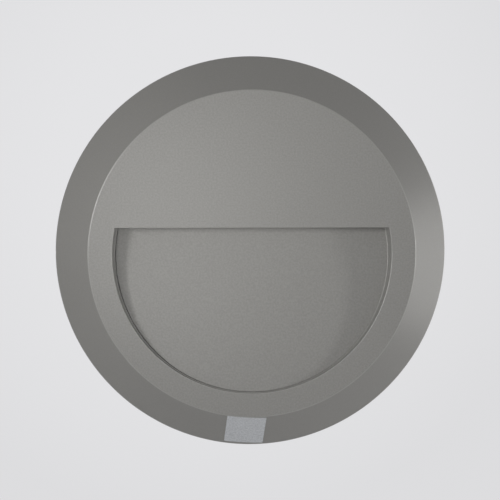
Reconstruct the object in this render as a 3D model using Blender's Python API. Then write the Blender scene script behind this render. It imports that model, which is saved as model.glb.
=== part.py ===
"""A round surface-mounted LED wall light: a cast dish with a half-round recess that throws light down.

Every piece is modelled lying on its back: X to the right, Y up the wall, Z out of the wall. The
wall_frame empty then stands it up, so that the front faces -Y and the wall is the plane y = 0.
"""

import math

import bmesh
import bpy
from mathutils import Matrix, Vector

# Gaps between neighbours, and how far a cut runs past what it cuts
FIT = 0.0003
OVERRUN = 0.002
MERGE = 0.000001
SHARP_ANGLE = math.radians(30)

# Round shapes: how many flats they have
CASING_STEPS = 96
RING_STEPS = 48
RECESS_STEPS = 44
BORE_STEPS = 12
SCREW_STEPS = 12
GROMMET_STEPS = 24
SLOT_STEPS = 6

# Casing
RIM_WIDTH = 0.020
SIDE_HEIGHT = 0.008
SIDE_WALL = 0.003
CASING_WALL = 0.003
BOSS_RADIUS = 0.0042
SEAL_LAND_INSET = 0.007
SEAL_LAND_WIDTH = 0.003

# Recess in the casing's face, with the ledge that carries the ramp panel
RECESS_RADIUS = 0.081
FACE_BORDER = 0.014
HOOD_EDGE = 0.0156
HOOD_DEPTH = 0.014
RECESS_FOOT_DEPTH = 0.0015
RECESS_DRAFT = 0.001
RECESS_WALL = 0.0022
LEDGE_WIDTH = 0.008
LEDGE_THICKNESS = 0.002
LEDGE_CLEARANCE = 0.0024

# Ramp panel
PANEL_THICKNESS = 0.002
PANEL_GAP = 0.0005
PANEL_BOSS_RADIUS = 0.003
PANEL_BOSS_LENGTH = 0.004
RAMP_SEAL_THICKNESS = 0.001
RAMP_PAD_THICKNESS = 0.002
RAMP_CUP_WALL = 0.002
RAMP_SCREW_ANGLES = [math.radians(angle) for angle in (-8, -60, -120, -172)]

# Wall gasket, bracket and grub screws
GASKET_THICKNESS = 0.0015
GASKET_INSET = 0.0005
BRACKET_WIDTH = 0.020
BRACKET_THICKNESS = 0.0015
TAB_HEIGHT = 0.0075
FIXING_SPACING = 0.062
FIXING_SLOT_LENGTH = 0.014
FIXING_SLOT_WIDTH = 0.0052
GRUB_RADIUS = 0.002
GRUB_LENGTH = 0.005
GRUB_TIP_RADIUS = 0.0012
GRUB_ACROSS_FLATS = 0.002
GRUB_SOCKET_DEPTH = 0.002
GRUB_HEIGHT = 0.0054
GRUB_PAD_DEPTH = 0.0025
GRUB_PAD_WIDTH = 0.012
GRUB_PAD_HEIGHT = 0.0075
GRUB_PAD_STEP = 0.0005

# Back cover, its seal and the cable grommet
COVER_STANDOFF = 0.0045
COVER_THICKNESS = 0.0015
COVER_CLEARANCE = 0.0012
COVER_SEAL_THICKNESS = 0.001
COVER_SCREWS = 6
GROMMET_X = -0.036
GROMMET_Y = 0.025
GROMMET_NECK_RADIUS = 0.0062
GROMMET_FLANGE_RADIUS = 0.0085
GROMMET_FLANGE_THICKNESS = 0.0012
GROMMET_BORE_RADIUS = 0.0036

# M3 screws
SCREW_RADIUS = 0.0015
SCREW_LENGTH = 0.006
SCREW_HEAD_RADIUS = 0.00275
SCREW_HEAD_HEIGHT = 0.002
SCREW_EDGE = 0.0003
SCREW_ACROSS_FLATS = 0.002
SCREW_SOCKET_DEPTH = 0.0012

# Light window, its seal and the slot in the hood that it fills
WINDOW_INSET = 0.0075
WINDOW_GAP = 0.0005
WINDOW_FLANGE = 0.002
WINDOW_RIM = 0.0015
WINDOW_SET_BACK = 0.0006
WINDOW_SEAL_THICKNESS = 0.0008

# LED carrier, board and LEDs
CARRIER_SHEET = 0.0012
CARRIER_HEIGHT = 0.008
CARRIER_EAR_THICKNESS = 0.0018
CARRIER_EAR_HEIGHT = 0.018
CARRIER_EAR_LAP = 0.004
CARRIER_SCREW_OFFSET = 0.0055
BOARD_INSET = 0.005
BOARD_GAP = 0.0005
BOARD_THICKNESS = 0.001
LED_COUNT = 12
LED_LENGTH = 0.0035
LED_WIDTH = 0.0028
LED_HEIGHT = 0.0008
LED_RIM = 0.0005
LED_WELL = 0.0003

# Driver
DRIVER_GAP = 0.0035
DRIVER_LENGTH = 0.056
DRIVER_WIDTH = 0.032
DRIVER_HEIGHT = 0.014
DRIVER_WALL = 0.0015
DRIVER_BOARD_THICKNESS = 0.0016
DRIVER_LUG_LENGTH = 0.009
DRIVER_LUG_WIDTH = 0.010
DRIVER_LUG_THICKNESS = 0.0015
DRIVER_LUG_RISE = 0.0035
DRIVER_LUG_OFFSET = 0.0105

# Parts on the driver's board: place as shares of its half sizes, then real size and height
TRANSFORMER_SHARE = (-0.05, 0.0)
TRANSFORMER_SIZE = (0.013, 0.013)
TRANSFORMER_HEIGHT = 0.007
CHOKE_SHARE = (-0.62, 0.45)
CAPACITOR_SHARES = [(0.5, -0.45), (-0.62, -0.5)]
CAN_RADIUS = 0.0034
CAN_HEIGHT = 0.0065

# Terminal block and its brass clamps
TERMINAL_GAP = 0.013
TERMINAL_CLEARANCE = 0.0022
TERMINAL_DEPTH = 0.012
TERMINAL_HEIGHT = 0.012
TERMINAL_PITCH = 0.0085
TERMINAL_BORE_RADIUS = 0.0021
CLAMP_INSET = 0.0015
CLAMP_BORE_RADIUS = 0.0012

# Earth tag, on a post between the terminal block and the driver
EARTH_TAG_THICKNESS = 0.0008
EARTH_TAG_RADIUS = 0.0052

# Leads
LEAD_RADIUS = 0.0009
LEAD_SIDES = 1
LEAD_GRIP = 0.004
LEAD_STRAIGHT = 0.003
LED_LEAD_SPACING = 0.002
DRIVER_LEAD_SPACING = 0.008
DRIVER_LEAD_SHARES = (-0.25, 0.75)
ROUTE_STEPS = 4

# Rating label on the sloping rim
LABEL_SIZE = 0.024
LABEL_THICKNESS = 0.00025
LABEL_MIDDLE = 0.0132
LABEL_OFFSET = -0.0028
LABEL_TURN = math.radians(4)
LABEL_STEPS = 8

# Radii, from the recess outwards and from the casing's side back in
FACE_RADIUS = RECESS_RADIUS + FACE_BORDER
CASING_RADIUS = FACE_RADIUS + RIM_WIDTH
RAMP_SCREW_CIRCLE = RECESS_RADIUS - LEDGE_WIDTH / 2
GRUB_TIP_X = CASING_RADIUS - SIDE_WALL - GRUB_PAD_DEPTH - FIT
TAB_X = GRUB_TIP_X - FIT
COVER_RADIUS = TAB_X - BRACKET_THICKNESS - COVER_CLEARANCE
COVER_SCREW_CIRCLE = COVER_RADIUS - BOSS_RADIUS
SEAL_LAND_RADIUS = COVER_SCREW_CIRCLE - SEAL_LAND_INSET
BORE_RADIUS = SCREW_RADIUS + FIT

# Heights over the wall, stacked up from the back cover
CASING_BACK = GASKET_THICKNESS + FIT
COVER_FRONT = COVER_STANDOFF + COVER_THICKNESS
SEAL_LAND_HEIGHT = COVER_FRONT + FIT + COVER_SEAL_THICKNESS + FIT
LEDGE_DROP = PANEL_THICKNESS + FIT + RAMP_SEAL_THICKNESS + FIT
RAMP_BASE = COVER_FRONT + LEDGE_CLEARANCE + LEDGE_THICKNESS + LEDGE_DROP
CASING_DEPTH = RAMP_BASE + HOOD_DEPTH
FACE_BACK = CASING_DEPTH - CASING_WALL
RIM_SLOPE = (CASING_DEPTH - SIDE_HEIGHT) / RIM_WIDTH
RAMP_RISE = (HOOD_DEPTH - RECESS_FOOT_DEPTH) / (HOOD_EDGE + RECESS_RADIUS)

# The window, the carrier and the board: how long they are, and how they stack up over the hood's edge
HOOD_HALF_LENGTH = math.sqrt(RECESS_RADIUS**2 - HOOD_EDGE**2)
WINDOW_LENGTH = 2 * (HOOD_HALF_LENGTH - WINDOW_INSET)
WINDOW_SEAL_Y = HOOD_EDGE + RECESS_WALL + FIT
WINDOW_Y = WINDOW_SEAL_Y + WINDOW_SEAL_THICKNESS + FIT
WINDOW_BACK = RAMP_BASE + WINDOW_GAP
WINDOW_FRONT = FACE_BACK - WINDOW_GAP
WINDOW_MIDDLE = (WINDOW_BACK + WINDOW_FRONT) / 2
CARRIER_Y = WINDOW_Y + WINDOW_FLANGE + FIT
CARRIER_TOP = CARRIER_Y + CARRIER_HEIGHT
CARRIER_WEB_Y = CARRIER_TOP - CARRIER_SHEET
CARRIER_SCREW_X = WINDOW_LENGTH / 2 + CARRIER_SCREW_OFFSET
CARRIER_SCREW_Y = CARRIER_Y + CARRIER_SHEET + CARRIER_EAR_HEIGHT - BOSS_RADIUS
CARRIER_EAR_LENGTH = CARRIER_SCREW_OFFSET + BOSS_RADIUS
CARRIER_EAR_BACK = WINDOW_BACK + CARRIER_SHEET / 2 - CARRIER_EAR_THICKNESS / 2
BOARD_LENGTH = WINDOW_LENGTH - 2 * BOARD_INSET
BOARD_DEPTH = WINDOW_FRONT - WINDOW_BACK - 2 * (CARRIER_SHEET + BOARD_GAP)
BOARD_Y = CARRIER_WEB_Y - FIT - BOARD_THICKNESS
LED_PITCH = BOARD_LENGTH / LED_COUNT

# The driver, over the carrier and halfway between the cover and the face
DRIVER_Y = CARRIER_TOP + DRIVER_GAP + DRIVER_WIDTH / 2
DRIVER_BACK = (COVER_FRONT + FACE_BACK - DRIVER_HEIGHT) / 2
DRIVER_FRONT = DRIVER_BACK + DRIVER_HEIGHT
DRIVER_TUB_BACK = DRIVER_BACK + DRIVER_WALL + FIT
DRIVER_LUG_HEIGHT = DRIVER_BACK + DRIVER_LUG_RISE
DRIVER_BOARD_FRONT = DRIVER_FRONT - DRIVER_WALL - FIT
DRIVER_BOARD_BACK = DRIVER_BOARD_FRONT - DRIVER_BOARD_THICKNESS
DRIVER_LEAD_HEIGHT = DRIVER_BOARD_BACK - FIT - LEAD_RADIUS

# The terminal block to the driver's left, and the earth post between them
TERMINAL_POLE_COUNT = 3
TERMINAL_X = -(DRIVER_LENGTH / 2 + TERMINAL_GAP + TERMINAL_DEPTH / 2)
TERMINAL_Y = CARRIER_TOP + TERMINAL_CLEARANCE + TERMINAL_PITCH * TERMINAL_POLE_COUNT / 2
TERMINAL_BACK = (COVER_FRONT + FACE_BACK - TERMINAL_HEIGHT) / 2
TERMINAL_FRONT = TERMINAL_BACK + TERMINAL_HEIGHT
TERMINAL_BORE_HEIGHT = TERMINAL_BACK + TERMINAL_HEIGHT / 2
TERMINAL_POLES = [TERMINAL_Y + TERMINAL_PITCH * pole for pole in (1, 0, -1)]
TERMINAL_FIXINGS = [TERMINAL_Y + TERMINAL_PITCH / 2, TERMINAL_Y - TERMINAL_PITCH / 2]
TERMINAL_SCREW_LENGTH = FACE_BACK - TERMINAL_BACK + FIT
CLAMP_LENGTH = TERMINAL_DEPTH - 2 * CLAMP_INSET
EARTH_X = -(DRIVER_LENGTH + TERMINAL_GAP) / 2
EARTH_Y = TERMINAL_POLES[-1]
EARTH_POST_END = TERMINAL_BORE_HEIGHT + EARTH_TAG_THICKNESS / 2 + FIT
EARTH_TAG_BACK = EARTH_POST_END - FIT - EARTH_TAG_THICKNESS
EARTH_SCREW_SEAT = EARTH_TAG_BACK - FIT


def clear_scene():
    for item in list(bpy.data.objects):
        bpy.data.objects.remove(item, do_unlink=True)


# Heights of the casing's own surfaces


def rim_inside(radius):
    """Height of the sloping rim's inner surface at this radius."""
    outside = SIDE_HEIGHT + (CASING_RADIUS - radius) * RIM_SLOPE
    return outside - CASING_WALL * math.hypot(1, RIM_SLOPE)


def wall_middle(x, y):
    """Height of the middle of the casing's wall at this place."""
    rim = rim_inside(math.hypot(x, y)) + CASING_WALL / 2 * math.hypot(1, RIM_SLOPE)
    return min(CASING_DEPTH - CASING_WALL / 2, rim)


def ramp_height(y):
    """Height of the ramp panel's front surface."""
    return RAMP_BASE + (HOOD_EDGE - y) * RAMP_RISE


def ramp_less(drop):
    """A height function that lies this far behind the ramp's front."""
    return lambda y: ramp_height(y) - drop


def level(height):
    return lambda y: height


# Shapes


def rod(shape, radius, start, end, steps=BORE_STEPS):
    """Adds a cylinder between two points."""
    along = Vector(end) - Vector(start)
    turn = along.to_track_quat("Z", "Y").to_matrix().to_4x4()
    middle = Matrix.Translation((Vector(start) + Vector(end)) / 2)
    bmesh.ops.create_cone(
        shape,
        cap_ends=True,
        segments=steps,
        radius1=radius,
        radius2=radius,
        depth=along.length,
        matrix=middle @ turn,
    )


def brick(shape, low, high):
    """Adds a box between its lowest and highest corners."""
    size = Vector(high) - Vector(low)
    middle = Matrix.Translation((Vector(high) + Vector(low)) / 2)
    return bmesh.ops.create_cube(shape, size=1.0, matrix=middle @ Matrix.Diagonal((*size, 1.0)))


def skin(shape, rings, capped=True):
    """Adds walls from each ring of points to the next. Its ends are capped, or joined to each other."""
    loops = [[shape.verts.new(point) for point in ring] for ring in rings]
    pairs = list(zip(loops, loops[1:]))
    if not capped:
        pairs.append((loops[-1], loops[0]))
    walls = []
    for near, far in pairs:
        for index in range(len(near)):
            corners = (near[index - 1], near[index], far[index], far[index - 1])
            walls.append(shape.faces.new(corners))
    if capped:
        shape.faces.new(loops[0])
        shape.faces.new(loops[-1])
    bmesh.ops.triangulate(shape, faces=walls)


def turned(profile, steps, closed=False):
    """A profile of (radius, height) points spun round Z. An end on the axis closes as one flat face."""
    shape = bmesh.new()
    points = [shape.verts.new((radius, 0.0, height)) for radius, height in profile]
    lines = [shape.edges.new(pair) for pair in zip(points, points[1:])]
    if closed:
        lines.append(shape.edges.new((points[-1], points[0])))
    bmesh.ops.spin(
        shape,
        geom=points + lines,
        angle=math.tau,
        steps=steps,
        axis=(0.0, 0.0, 1.0),
        cent=(0.0, 0.0, 0.0),
        use_merge=True,
    )
    bmesh.ops.remove_doubles(shape, verts=shape.verts, dist=MERGE)
    poles = [point for point in shape.verts if point.co.xy.length < MERGE]
    bmesh.ops.dissolve_verts(shape, verts=poles)
    return shape


def slot_ring(x, y, length, width, height):
    """A round-ended slot's outline, lying along X."""
    reach = (length - width) / 2
    ring = []
    for side in (1, -1):
        for step in range(SLOT_STEPS + 1):
            angle = math.pi * step / SLOT_STEPS - math.pi / 2
            across = x + side * (reach + math.cos(angle) * width / 2)
            ring.append((across, y + side * math.sin(angle) * width / 2, height))
    return ring


def recess_ring(inset, height_at):
    """The recess outline, drawn in by inset: a straight hood edge over an arc that follows the draft."""
    hood = HOOD_EDGE - inset

    def radius_at(height):
        return RECESS_RADIUS - inset - RECESS_DRAFT * (CASING_DEPTH - height) / HOOD_DEPTH

    corner_radius = radius_at(height_at(hood))
    start = math.asin(hood / corner_radius)
    corner_x = math.sqrt(corner_radius**2 - hood**2)
    ring = [(corner_x, hood, height_at(hood))]
    for step in range(1, RECESS_STEPS):
        angle = start - (math.pi + 2 * start) * step / RECESS_STEPS
        radius = radius_at(height_at((RECESS_RADIUS - inset) * math.sin(angle)))
        y = radius * math.sin(angle)
        ring.append((radius * math.cos(angle), y, height_at(y)))
    ring.append((-corner_x, hood, height_at(hood)))
    return ring


def hex_socket(shape, circle, across_flats):
    """Draws the ring of points on this circle in to a hexagon."""
    for point in shape.verts:
        if abs(math.hypot(point.co.x, point.co.y) - circle) < MERGE:
            angle = math.atan2(point.co.y, point.co.x) % (math.tau / 6) - math.tau / 12
            reach = across_flats / 2 / math.cos(angle) / circle
            point.co.x *= reach
            point.co.y *= reach


# Objects


def frame(name, parent=None):
    empty = bpy.data.objects.new(name, None)
    bpy.context.scene.collection.objects.link(empty)
    empty.parent = parent
    return empty


def solid(name, shape, material, parent, place=(0.0, 0.0, 0.0), turn=(0.0, 0.0, 0.0)):
    """A piece made from this shape, smooth where it is round, standing on its parent."""
    bmesh.ops.recalc_face_normals(shape, faces=shape.faces)
    mesh = bpy.data.meshes.new(name)
    shape.to_mesh(mesh)
    shape.free()
    mesh.shade_smooth()
    mesh.set_sharp_from_angle(angle=SHARP_ANGLE)
    return placed(name, mesh, material, parent, place, turn)


def placed(name, mesh, material, parent, place, turn):
    piece = bpy.data.objects.new(name, mesh)
    bpy.context.scene.collection.objects.link(piece)
    if material and not mesh.materials:
        mesh.materials.append(material)
    piece.parent = parent
    piece.location = place
    piece.rotation_euler = turn
    return piece


def change(piece, operation, name, shape):
    """Joins a shape to a piece (UNION) or cuts it out (DIFFERENCE), through a hidden helper."""
    helper = solid(f"{name}_helper", shape, None, piece.parent, piece.location, piece.rotation_euler)
    helper.hide_render = True
    helper.display_type = "WIRE"
    step = piece.modifiers.new(name, "BOOLEAN")
    step.operation = operation
    step.object = helper
    step.solver = "EXACT"


# Materials


def finish(name, colour, roughness, metallic=0.0, transmission=0.0):
    material = bpy.data.materials.new(name)
    material.use_nodes = True
    shader = material.node_tree.nodes["Principled BSDF"]
    shader.inputs["Base Color"].default_value = (*colour, 1.0)
    shader.inputs["Roughness"].default_value = roughness
    shader.inputs["Metallic"].default_value = metallic
    shader.inputs["Transmission Weight"].default_value = transmission
    return material


def powder_coat(name):
    return finish(name, (0.30, 0.296, 0.279), 0.55, metallic=0.25)


def galvanised_steel(name):
    return finish(name, (0.55, 0.57, 0.58), 0.45, metallic=1.0)


def bright_steel(name):
    return finish(name, (0.62, 0.62, 0.60), 0.30, metallic=1.0)


def black_steel(name):
    return finish(name, (0.03, 0.03, 0.03), 0.45, metallic=0.6)


def brass(name):
    return finish(name, (0.72, 0.55, 0.25), 0.35, metallic=1.0)


def bare_aluminium(name):
    return finish(name, (0.75, 0.76, 0.77), 0.40, metallic=1.0)


def grey_foam(name):
    return finish(name, (0.10, 0.10, 0.10), 0.95)


def silicone(name):
    return finish(name, (0.72, 0.70, 0.66), 0.60)


def black_rubber(name):
    return finish(name, (0.025, 0.025, 0.025), 0.75)


def frosted_plastic(name):
    return finish(name, (0.92, 0.92, 0.90), 0.50, transmission=0.4)


def white_plastic(name):
    return finish(name, (0.85, 0.85, 0.83), 0.45)


def white_board(name):
    return finish(name, (0.88, 0.88, 0.88), 0.50)


def green_board(name):
    return finish(name, (0.04, 0.22, 0.10), 0.50)


def phosphor(name):
    return finish(name, (0.95, 0.80, 0.30), 0.50)


def silver_foil(name):
    return finish(name, (0.36, 0.38, 0.39), 0.45, metallic=0.4)


def lead_jacket(name, colour):
    return finish(name, colour, 0.45)


# Casing


def dish():
    """The turned shell: face, sloping rim and short side, and the inner ring that the seal lies on."""
    side_inside = CASING_RADIUS - SIDE_WALL
    land_outside = SEAL_LAND_RADIUS + SEAL_LAND_WIDTH
    face_inside = FACE_RADIUS + (rim_inside(FACE_RADIUS) - FACE_BACK) / RIM_SLOPE
    return turned(
        [
            (0.0, CASING_DEPTH),
            (FACE_RADIUS, CASING_DEPTH),
            (CASING_RADIUS, SIDE_HEIGHT),
            (CASING_RADIUS, CASING_BACK),
            (side_inside, CASING_BACK),
            (side_inside, rim_inside(side_inside)),
            (land_outside, rim_inside(land_outside)),
            (land_outside, SEAL_LAND_HEIGHT),
            (SEAL_LAND_RADIUS, SEAL_LAND_HEIGHT),
            (SEAL_LAND_RADIUS, rim_inside(SEAL_LAND_RADIUS)),
            (face_inside, FACE_BACK),
            (0.0, FACE_BACK),
        ],
        CASING_STEPS,
    )


def recess_tub():
    """The block round the recess, down to the ledge's back."""
    shape = bmesh.new()
    front = recess_ring(-RECESS_WALL, level(CASING_DEPTH - CASING_WALL / 2))
    back = recess_ring(-RECESS_WALL, ramp_less(LEDGE_DROP + LEDGE_THICKNESS))
    skin(shape, [front, back])
    return shape


def recess_pocket():
    """The space over the ledge: the recess, the ramp panel and its seal."""
    shape = bmesh.new()
    front = recess_ring(0.0, level(CASING_DEPTH + OVERRUN))
    back = recess_ring(0.0, ramp_less(LEDGE_DROP))
    skin(shape, [front, back])
    return shape


def recess_throat():
    """The opening inside the ledge."""
    shape = bmesh.new()
    front = recess_ring(LEDGE_WIDTH, ramp_less(0.0))
    back = recess_ring(LEDGE_WIDTH, ramp_less(LEDGE_DROP + LEDGE_THICKNESS + OVERRUN))
    skin(shape, [front, back])
    return shape


def ramp_screw_places():
    """Each ramp screw's x and y, and the height of the end of the panel's boss there."""
    places = []
    for angle in RAMP_SCREW_ANGLES:
        x = RAMP_SCREW_CIRCLE * math.cos(angle)
        y = RAMP_SCREW_CIRCLE * math.sin(angle)
        places.append((x, y, ramp_height(y) - PANEL_THICKNESS - PANEL_BOSS_LENGTH))
    return places


def cover_screw_places():
    places = []
    for index in range(COVER_SCREWS):
        angle = math.tau * (index + 0.5) / COVER_SCREWS
        places.append((COVER_SCREW_CIRCLE * math.cos(angle), COVER_SCREW_CIRCLE * math.sin(angle)))
    return places


def driver_lug_places():
    """Each driver lug's x and y: one at either end, on opposite corners."""
    reach = DRIVER_LENGTH / 2 + DRIVER_LUG_LENGTH / 2
    return [(-reach, DRIVER_Y + DRIVER_LUG_OFFSET), (reach, DRIVER_Y - DRIVER_LUG_OFFSET)]


def standing_bosses():
    """Each boss that stands on the casing's inner wall: x, y, its open end's height and its screw's tip."""
    end, tip = SEAL_LAND_HEIGHT + FIT, COVER_STANDOFF - FIT + SCREW_LENGTH
    bosses = [(x, y, end, tip) for x, y in cover_screw_places()]
    end, tip = CARRIER_EAR_BACK + CARRIER_EAR_THICKNESS + FIT, CARRIER_EAR_BACK - FIT + SCREW_LENGTH
    bosses += [(side * CARRIER_SCREW_X, CARRIER_SCREW_Y, end, tip) for side in (-1, 1)]
    end, tip = DRIVER_LUG_HEIGHT + DRIVER_LUG_THICKNESS + FIT, DRIVER_LUG_HEIGHT - FIT + SCREW_LENGTH
    bosses += [(x, y, end, tip) for x, y in driver_lug_places()]
    end, tip = TERMINAL_FRONT + FIT, TERMINAL_BACK - FIT + TERMINAL_SCREW_LENGTH
    bosses += [(TERMINAL_X, y, end, tip) for y in TERMINAL_FIXINGS]
    bosses.append((EARTH_X, EARTH_Y, EARTH_POST_END, EARTH_SCREW_SEAT + SCREW_LENGTH))
    return bosses


def casing_bosses():
    """Cylinders that end in the middle of the wall they stand on, however it slopes."""
    shape = bmesh.new()
    for x, y, end, _ in standing_bosses():
        rings = []
        for height_at in (lambda x, y: end, wall_middle):
            ring = []
            for step in range(BORE_STEPS):
                angle = math.tau * step / BORE_STEPS
                across = x + BOSS_RADIUS * math.cos(angle)
                up = y + BOSS_RADIUS * math.sin(angle)
                ring.append((across, up, height_at(across, up)))
            rings.append(ring)
        skin(shape, rings)
    return shape


def ramp_cups():
    """The cups behind the ledge that take the panel's bosses."""
    shape = bmesh.new()
    radius = PANEL_BOSS_RADIUS + FIT + RAMP_CUP_WALL
    for x, y, boss_end in ramp_screw_places():
        ledge_middle = ramp_height(y) - LEDGE_DROP - LEDGE_THICKNESS / 2
        end = boss_end - FIT - RAMP_PAD_THICKNESS
        rod(shape, radius, (x, y, end), (x, y, ledge_middle))
    return shape


def ramp_cup_bores():
    shape = bmesh.new()
    for x, y, boss_end in ramp_screw_places():
        top = ramp_height(y) - LEDGE_DROP + OVERRUN / 2
        rod(shape, PANEL_BOSS_RADIUS + FIT, (x, y, boss_end - FIT), (x, y, top))
    return shape


def casing_bores():
    """Screw holes in the bosses, cups and side, and the window's slot in the hood."""
    shape = bmesh.new()
    for x, y, boss_end in ramp_screw_places():
        rod(shape, BORE_RADIUS, (x, y, boss_end - OVERRUN - RAMP_PAD_THICKNESS), (x, y, boss_end))
    for x, y, end, tip in standing_bosses():
        rod(shape, BORE_RADIUS, (x, y, end - OVERRUN), (x, y, tip + FIT))
    for side in (-1, 1):
        start = (side * (GRUB_TIP_X - OVERRUN), 0.0, GRUB_HEIGHT)
        rod(shape, GRUB_RADIUS + FIT, start, (side * (CASING_RADIUS + OVERRUN), 0.0, GRUB_HEIGHT))
    reach = WINDOW_LENGTH / 2 - WINDOW_RIM
    low = (-reach, HOOD_EDGE - OVERRUN, WINDOW_BACK + WINDOW_RIM)
    brick(shape, low, (reach, WINDOW_SEAL_Y + OVERRUN, WINDOW_FRONT - WINDOW_RIM))
    return shape


def grub_pads():
    """Thicker places in the side wall for the grub screws' threads."""
    shape = bmesh.new()
    base = CASING_BACK + GRUB_PAD_STEP
    for side in (-1, 1):
        inner = side * (CASING_RADIUS - SIDE_WALL - GRUB_PAD_DEPTH)
        outer = side * (CASING_RADIUS - SIDE_WALL + GRUB_PAD_STEP)
        low = (min(inner, outer), -GRUB_PAD_WIDTH / 2, base)
        brick(shape, low, (max(inner, outer), GRUB_PAD_WIDTH / 2, base + GRUB_PAD_HEIGHT))
    return shape


def make_casing(lamp):
    casing = solid("casing", dish(), powder_coat("casing_coat"), lamp)
    change(casing, "UNION", "recess_tub", recess_tub())
    change(casing, "DIFFERENCE", "recess_pocket", recess_pocket())
    change(casing, "DIFFERENCE", "recess_throat", recess_throat())
    change(casing, "UNION", "casing_bosses", casing_bosses())
    change(casing, "UNION", "ramp_cups", ramp_cups())
    change(casing, "UNION", "grub_pads", grub_pads())
    change(casing, "DIFFERENCE", "ramp_cup_bores", ramp_cup_bores())
    change(casing, "DIFFERENCE", "casing_bores", casing_bores())


# Ramp panel, its seal and screws


def panel_bosses():
    shape = bmesh.new()
    for x, y, boss_end in ramp_screw_places():
        middle = ramp_height(y) - PANEL_THICKNESS / 2
        rod(shape, PANEL_BOSS_RADIUS, (x, y, boss_end), (x, y, middle))
    return shape


def panel_bores():
    """Blind holes for the ramp screws, from the bosses' ends."""
    shape = bmesh.new()
    for x, y, boss_end in ramp_screw_places():
        tip = boss_end - FIT - RAMP_PAD_THICKNESS - FIT + SCREW_LENGTH
        rod(shape, BORE_RADIUS, (x, y, boss_end - OVERRUN), (x, y, tip + FIT), SCREW_STEPS)
    return shape


def make_ramp_panel(lamp):
    shape = bmesh.new()
    front = recess_ring(PANEL_GAP, ramp_less(0.0))
    skin(shape, [front, recess_ring(PANEL_GAP, ramp_less(PANEL_THICKNESS))])
    panel = solid("ramp_panel", shape, powder_coat("ramp_panel_coat"), lamp)
    change(panel, "UNION", "panel_bosses", panel_bosses())
    change(panel, "DIFFERENCE", "panel_bores", panel_bores())


def make_ramp_seal(lamp):
    """A flat ring on the ledge, with holes for the panel's bosses."""
    shape = bmesh.new()
    front = ramp_less(PANEL_THICKNESS + FIT)
    back = ramp_less(PANEL_THICKNESS + FIT + RAMP_SEAL_THICKNESS)
    outer, inner = PANEL_GAP, LEDGE_WIDTH - PANEL_GAP
    rings = [recess_ring(outer, front), recess_ring(outer, back)]
    rings += [recess_ring(inner, back), recess_ring(inner, front)]
    skin(shape, rings, capped=False)
    seal = solid("ramp_seal", shape, silicone("ramp_seal_silicone"), lamp)
    holes = bmesh.new()
    for x, y, boss_end in ramp_screw_places():
        rod(holes, PANEL_BOSS_RADIUS + FIT, (x, y, boss_end), (x, y, ramp_height(y)))
    change(seal, "DIFFERENCE", "ramp_seal_holes", holes)


# Screws


def screw_mesh(name, length, material):
    """A hex-socket pan head screw along Z, with its origin under the head."""
    socket = SCREW_ACROSS_FLATS / math.sqrt(3)
    shape = turned(
        [
            (0.0, SCREW_SOCKET_DEPTH - SCREW_HEAD_HEIGHT),
            (socket, SCREW_SOCKET_DEPTH - SCREW_HEAD_HEIGHT),
            (socket, -SCREW_HEAD_HEIGHT),
            (SCREW_HEAD_RADIUS - SCREW_EDGE, -SCREW_HEAD_HEIGHT),
            (SCREW_HEAD_RADIUS, SCREW_EDGE - SCREW_HEAD_HEIGHT),
            (SCREW_HEAD_RADIUS, 0.0),
            (SCREW_RADIUS, 0.0),
            (SCREW_RADIUS, length - SCREW_EDGE),
            (SCREW_RADIUS - SCREW_EDGE, length),
            (0.0, length),
        ],
        SCREW_STEPS,
    )
    hex_socket(shape, socket, SCREW_ACROSS_FLATS)
    bmesh.ops.recalc_face_normals(shape, faces=shape.faces)
    mesh = bpy.data.meshes.new(name)
    shape.to_mesh(mesh)
    shape.free()
    mesh.shade_smooth()
    mesh.set_sharp_from_angle(angle=SHARP_ANGLE)
    mesh.materials.append(material)
    return mesh


def make_screws(lamp):
    """Every M3 screw: each is driven from behind, with its head a fit away from what it holds."""
    still = (0.0, 0.0, 0.0)
    short = screw_mesh("screw_m3x6", SCREW_LENGTH, bright_steel("screw_steel"))
    for number, (x, y, boss_end) in enumerate(ramp_screw_places(), 1):
        seat = boss_end - FIT - RAMP_PAD_THICKNESS - FIT
        placed(f"ramp_screw_{number}", short, None, lamp, (x, y, seat), still)
    for number, (x, y) in enumerate(cover_screw_places(), 1):
        placed(f"cover_screw_{number}", short, None, lamp, (x, y, COVER_STANDOFF - FIT), still)
    for side, x in (("left", -CARRIER_SCREW_X), ("right", CARRIER_SCREW_X)):
        place = (x, CARRIER_SCREW_Y, CARRIER_EAR_BACK - FIT)
        placed(f"carrier_screw_{side}", short, None, lamp, place, still)
    for side, (x, y) in zip(("left", "right"), driver_lug_places()):
        placed(f"driver_screw_{side}", short, None, lamp, (x, y, DRIVER_LUG_HEIGHT - FIT), still)
    placed("earth_screw", short, None, lamp, (EARTH_X, EARTH_Y, EARTH_SCREW_SEAT), still)
    long = screw_mesh("screw_m3x16", TERMINAL_SCREW_LENGTH, short.materials[0])
    for number, y in enumerate(TERMINAL_FIXINGS, 1):
        place = (TERMINAL_X, y, TERMINAL_BACK - FIT)
        placed(f"terminal_screw_{number}", long, None, lamp, place, still)


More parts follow.
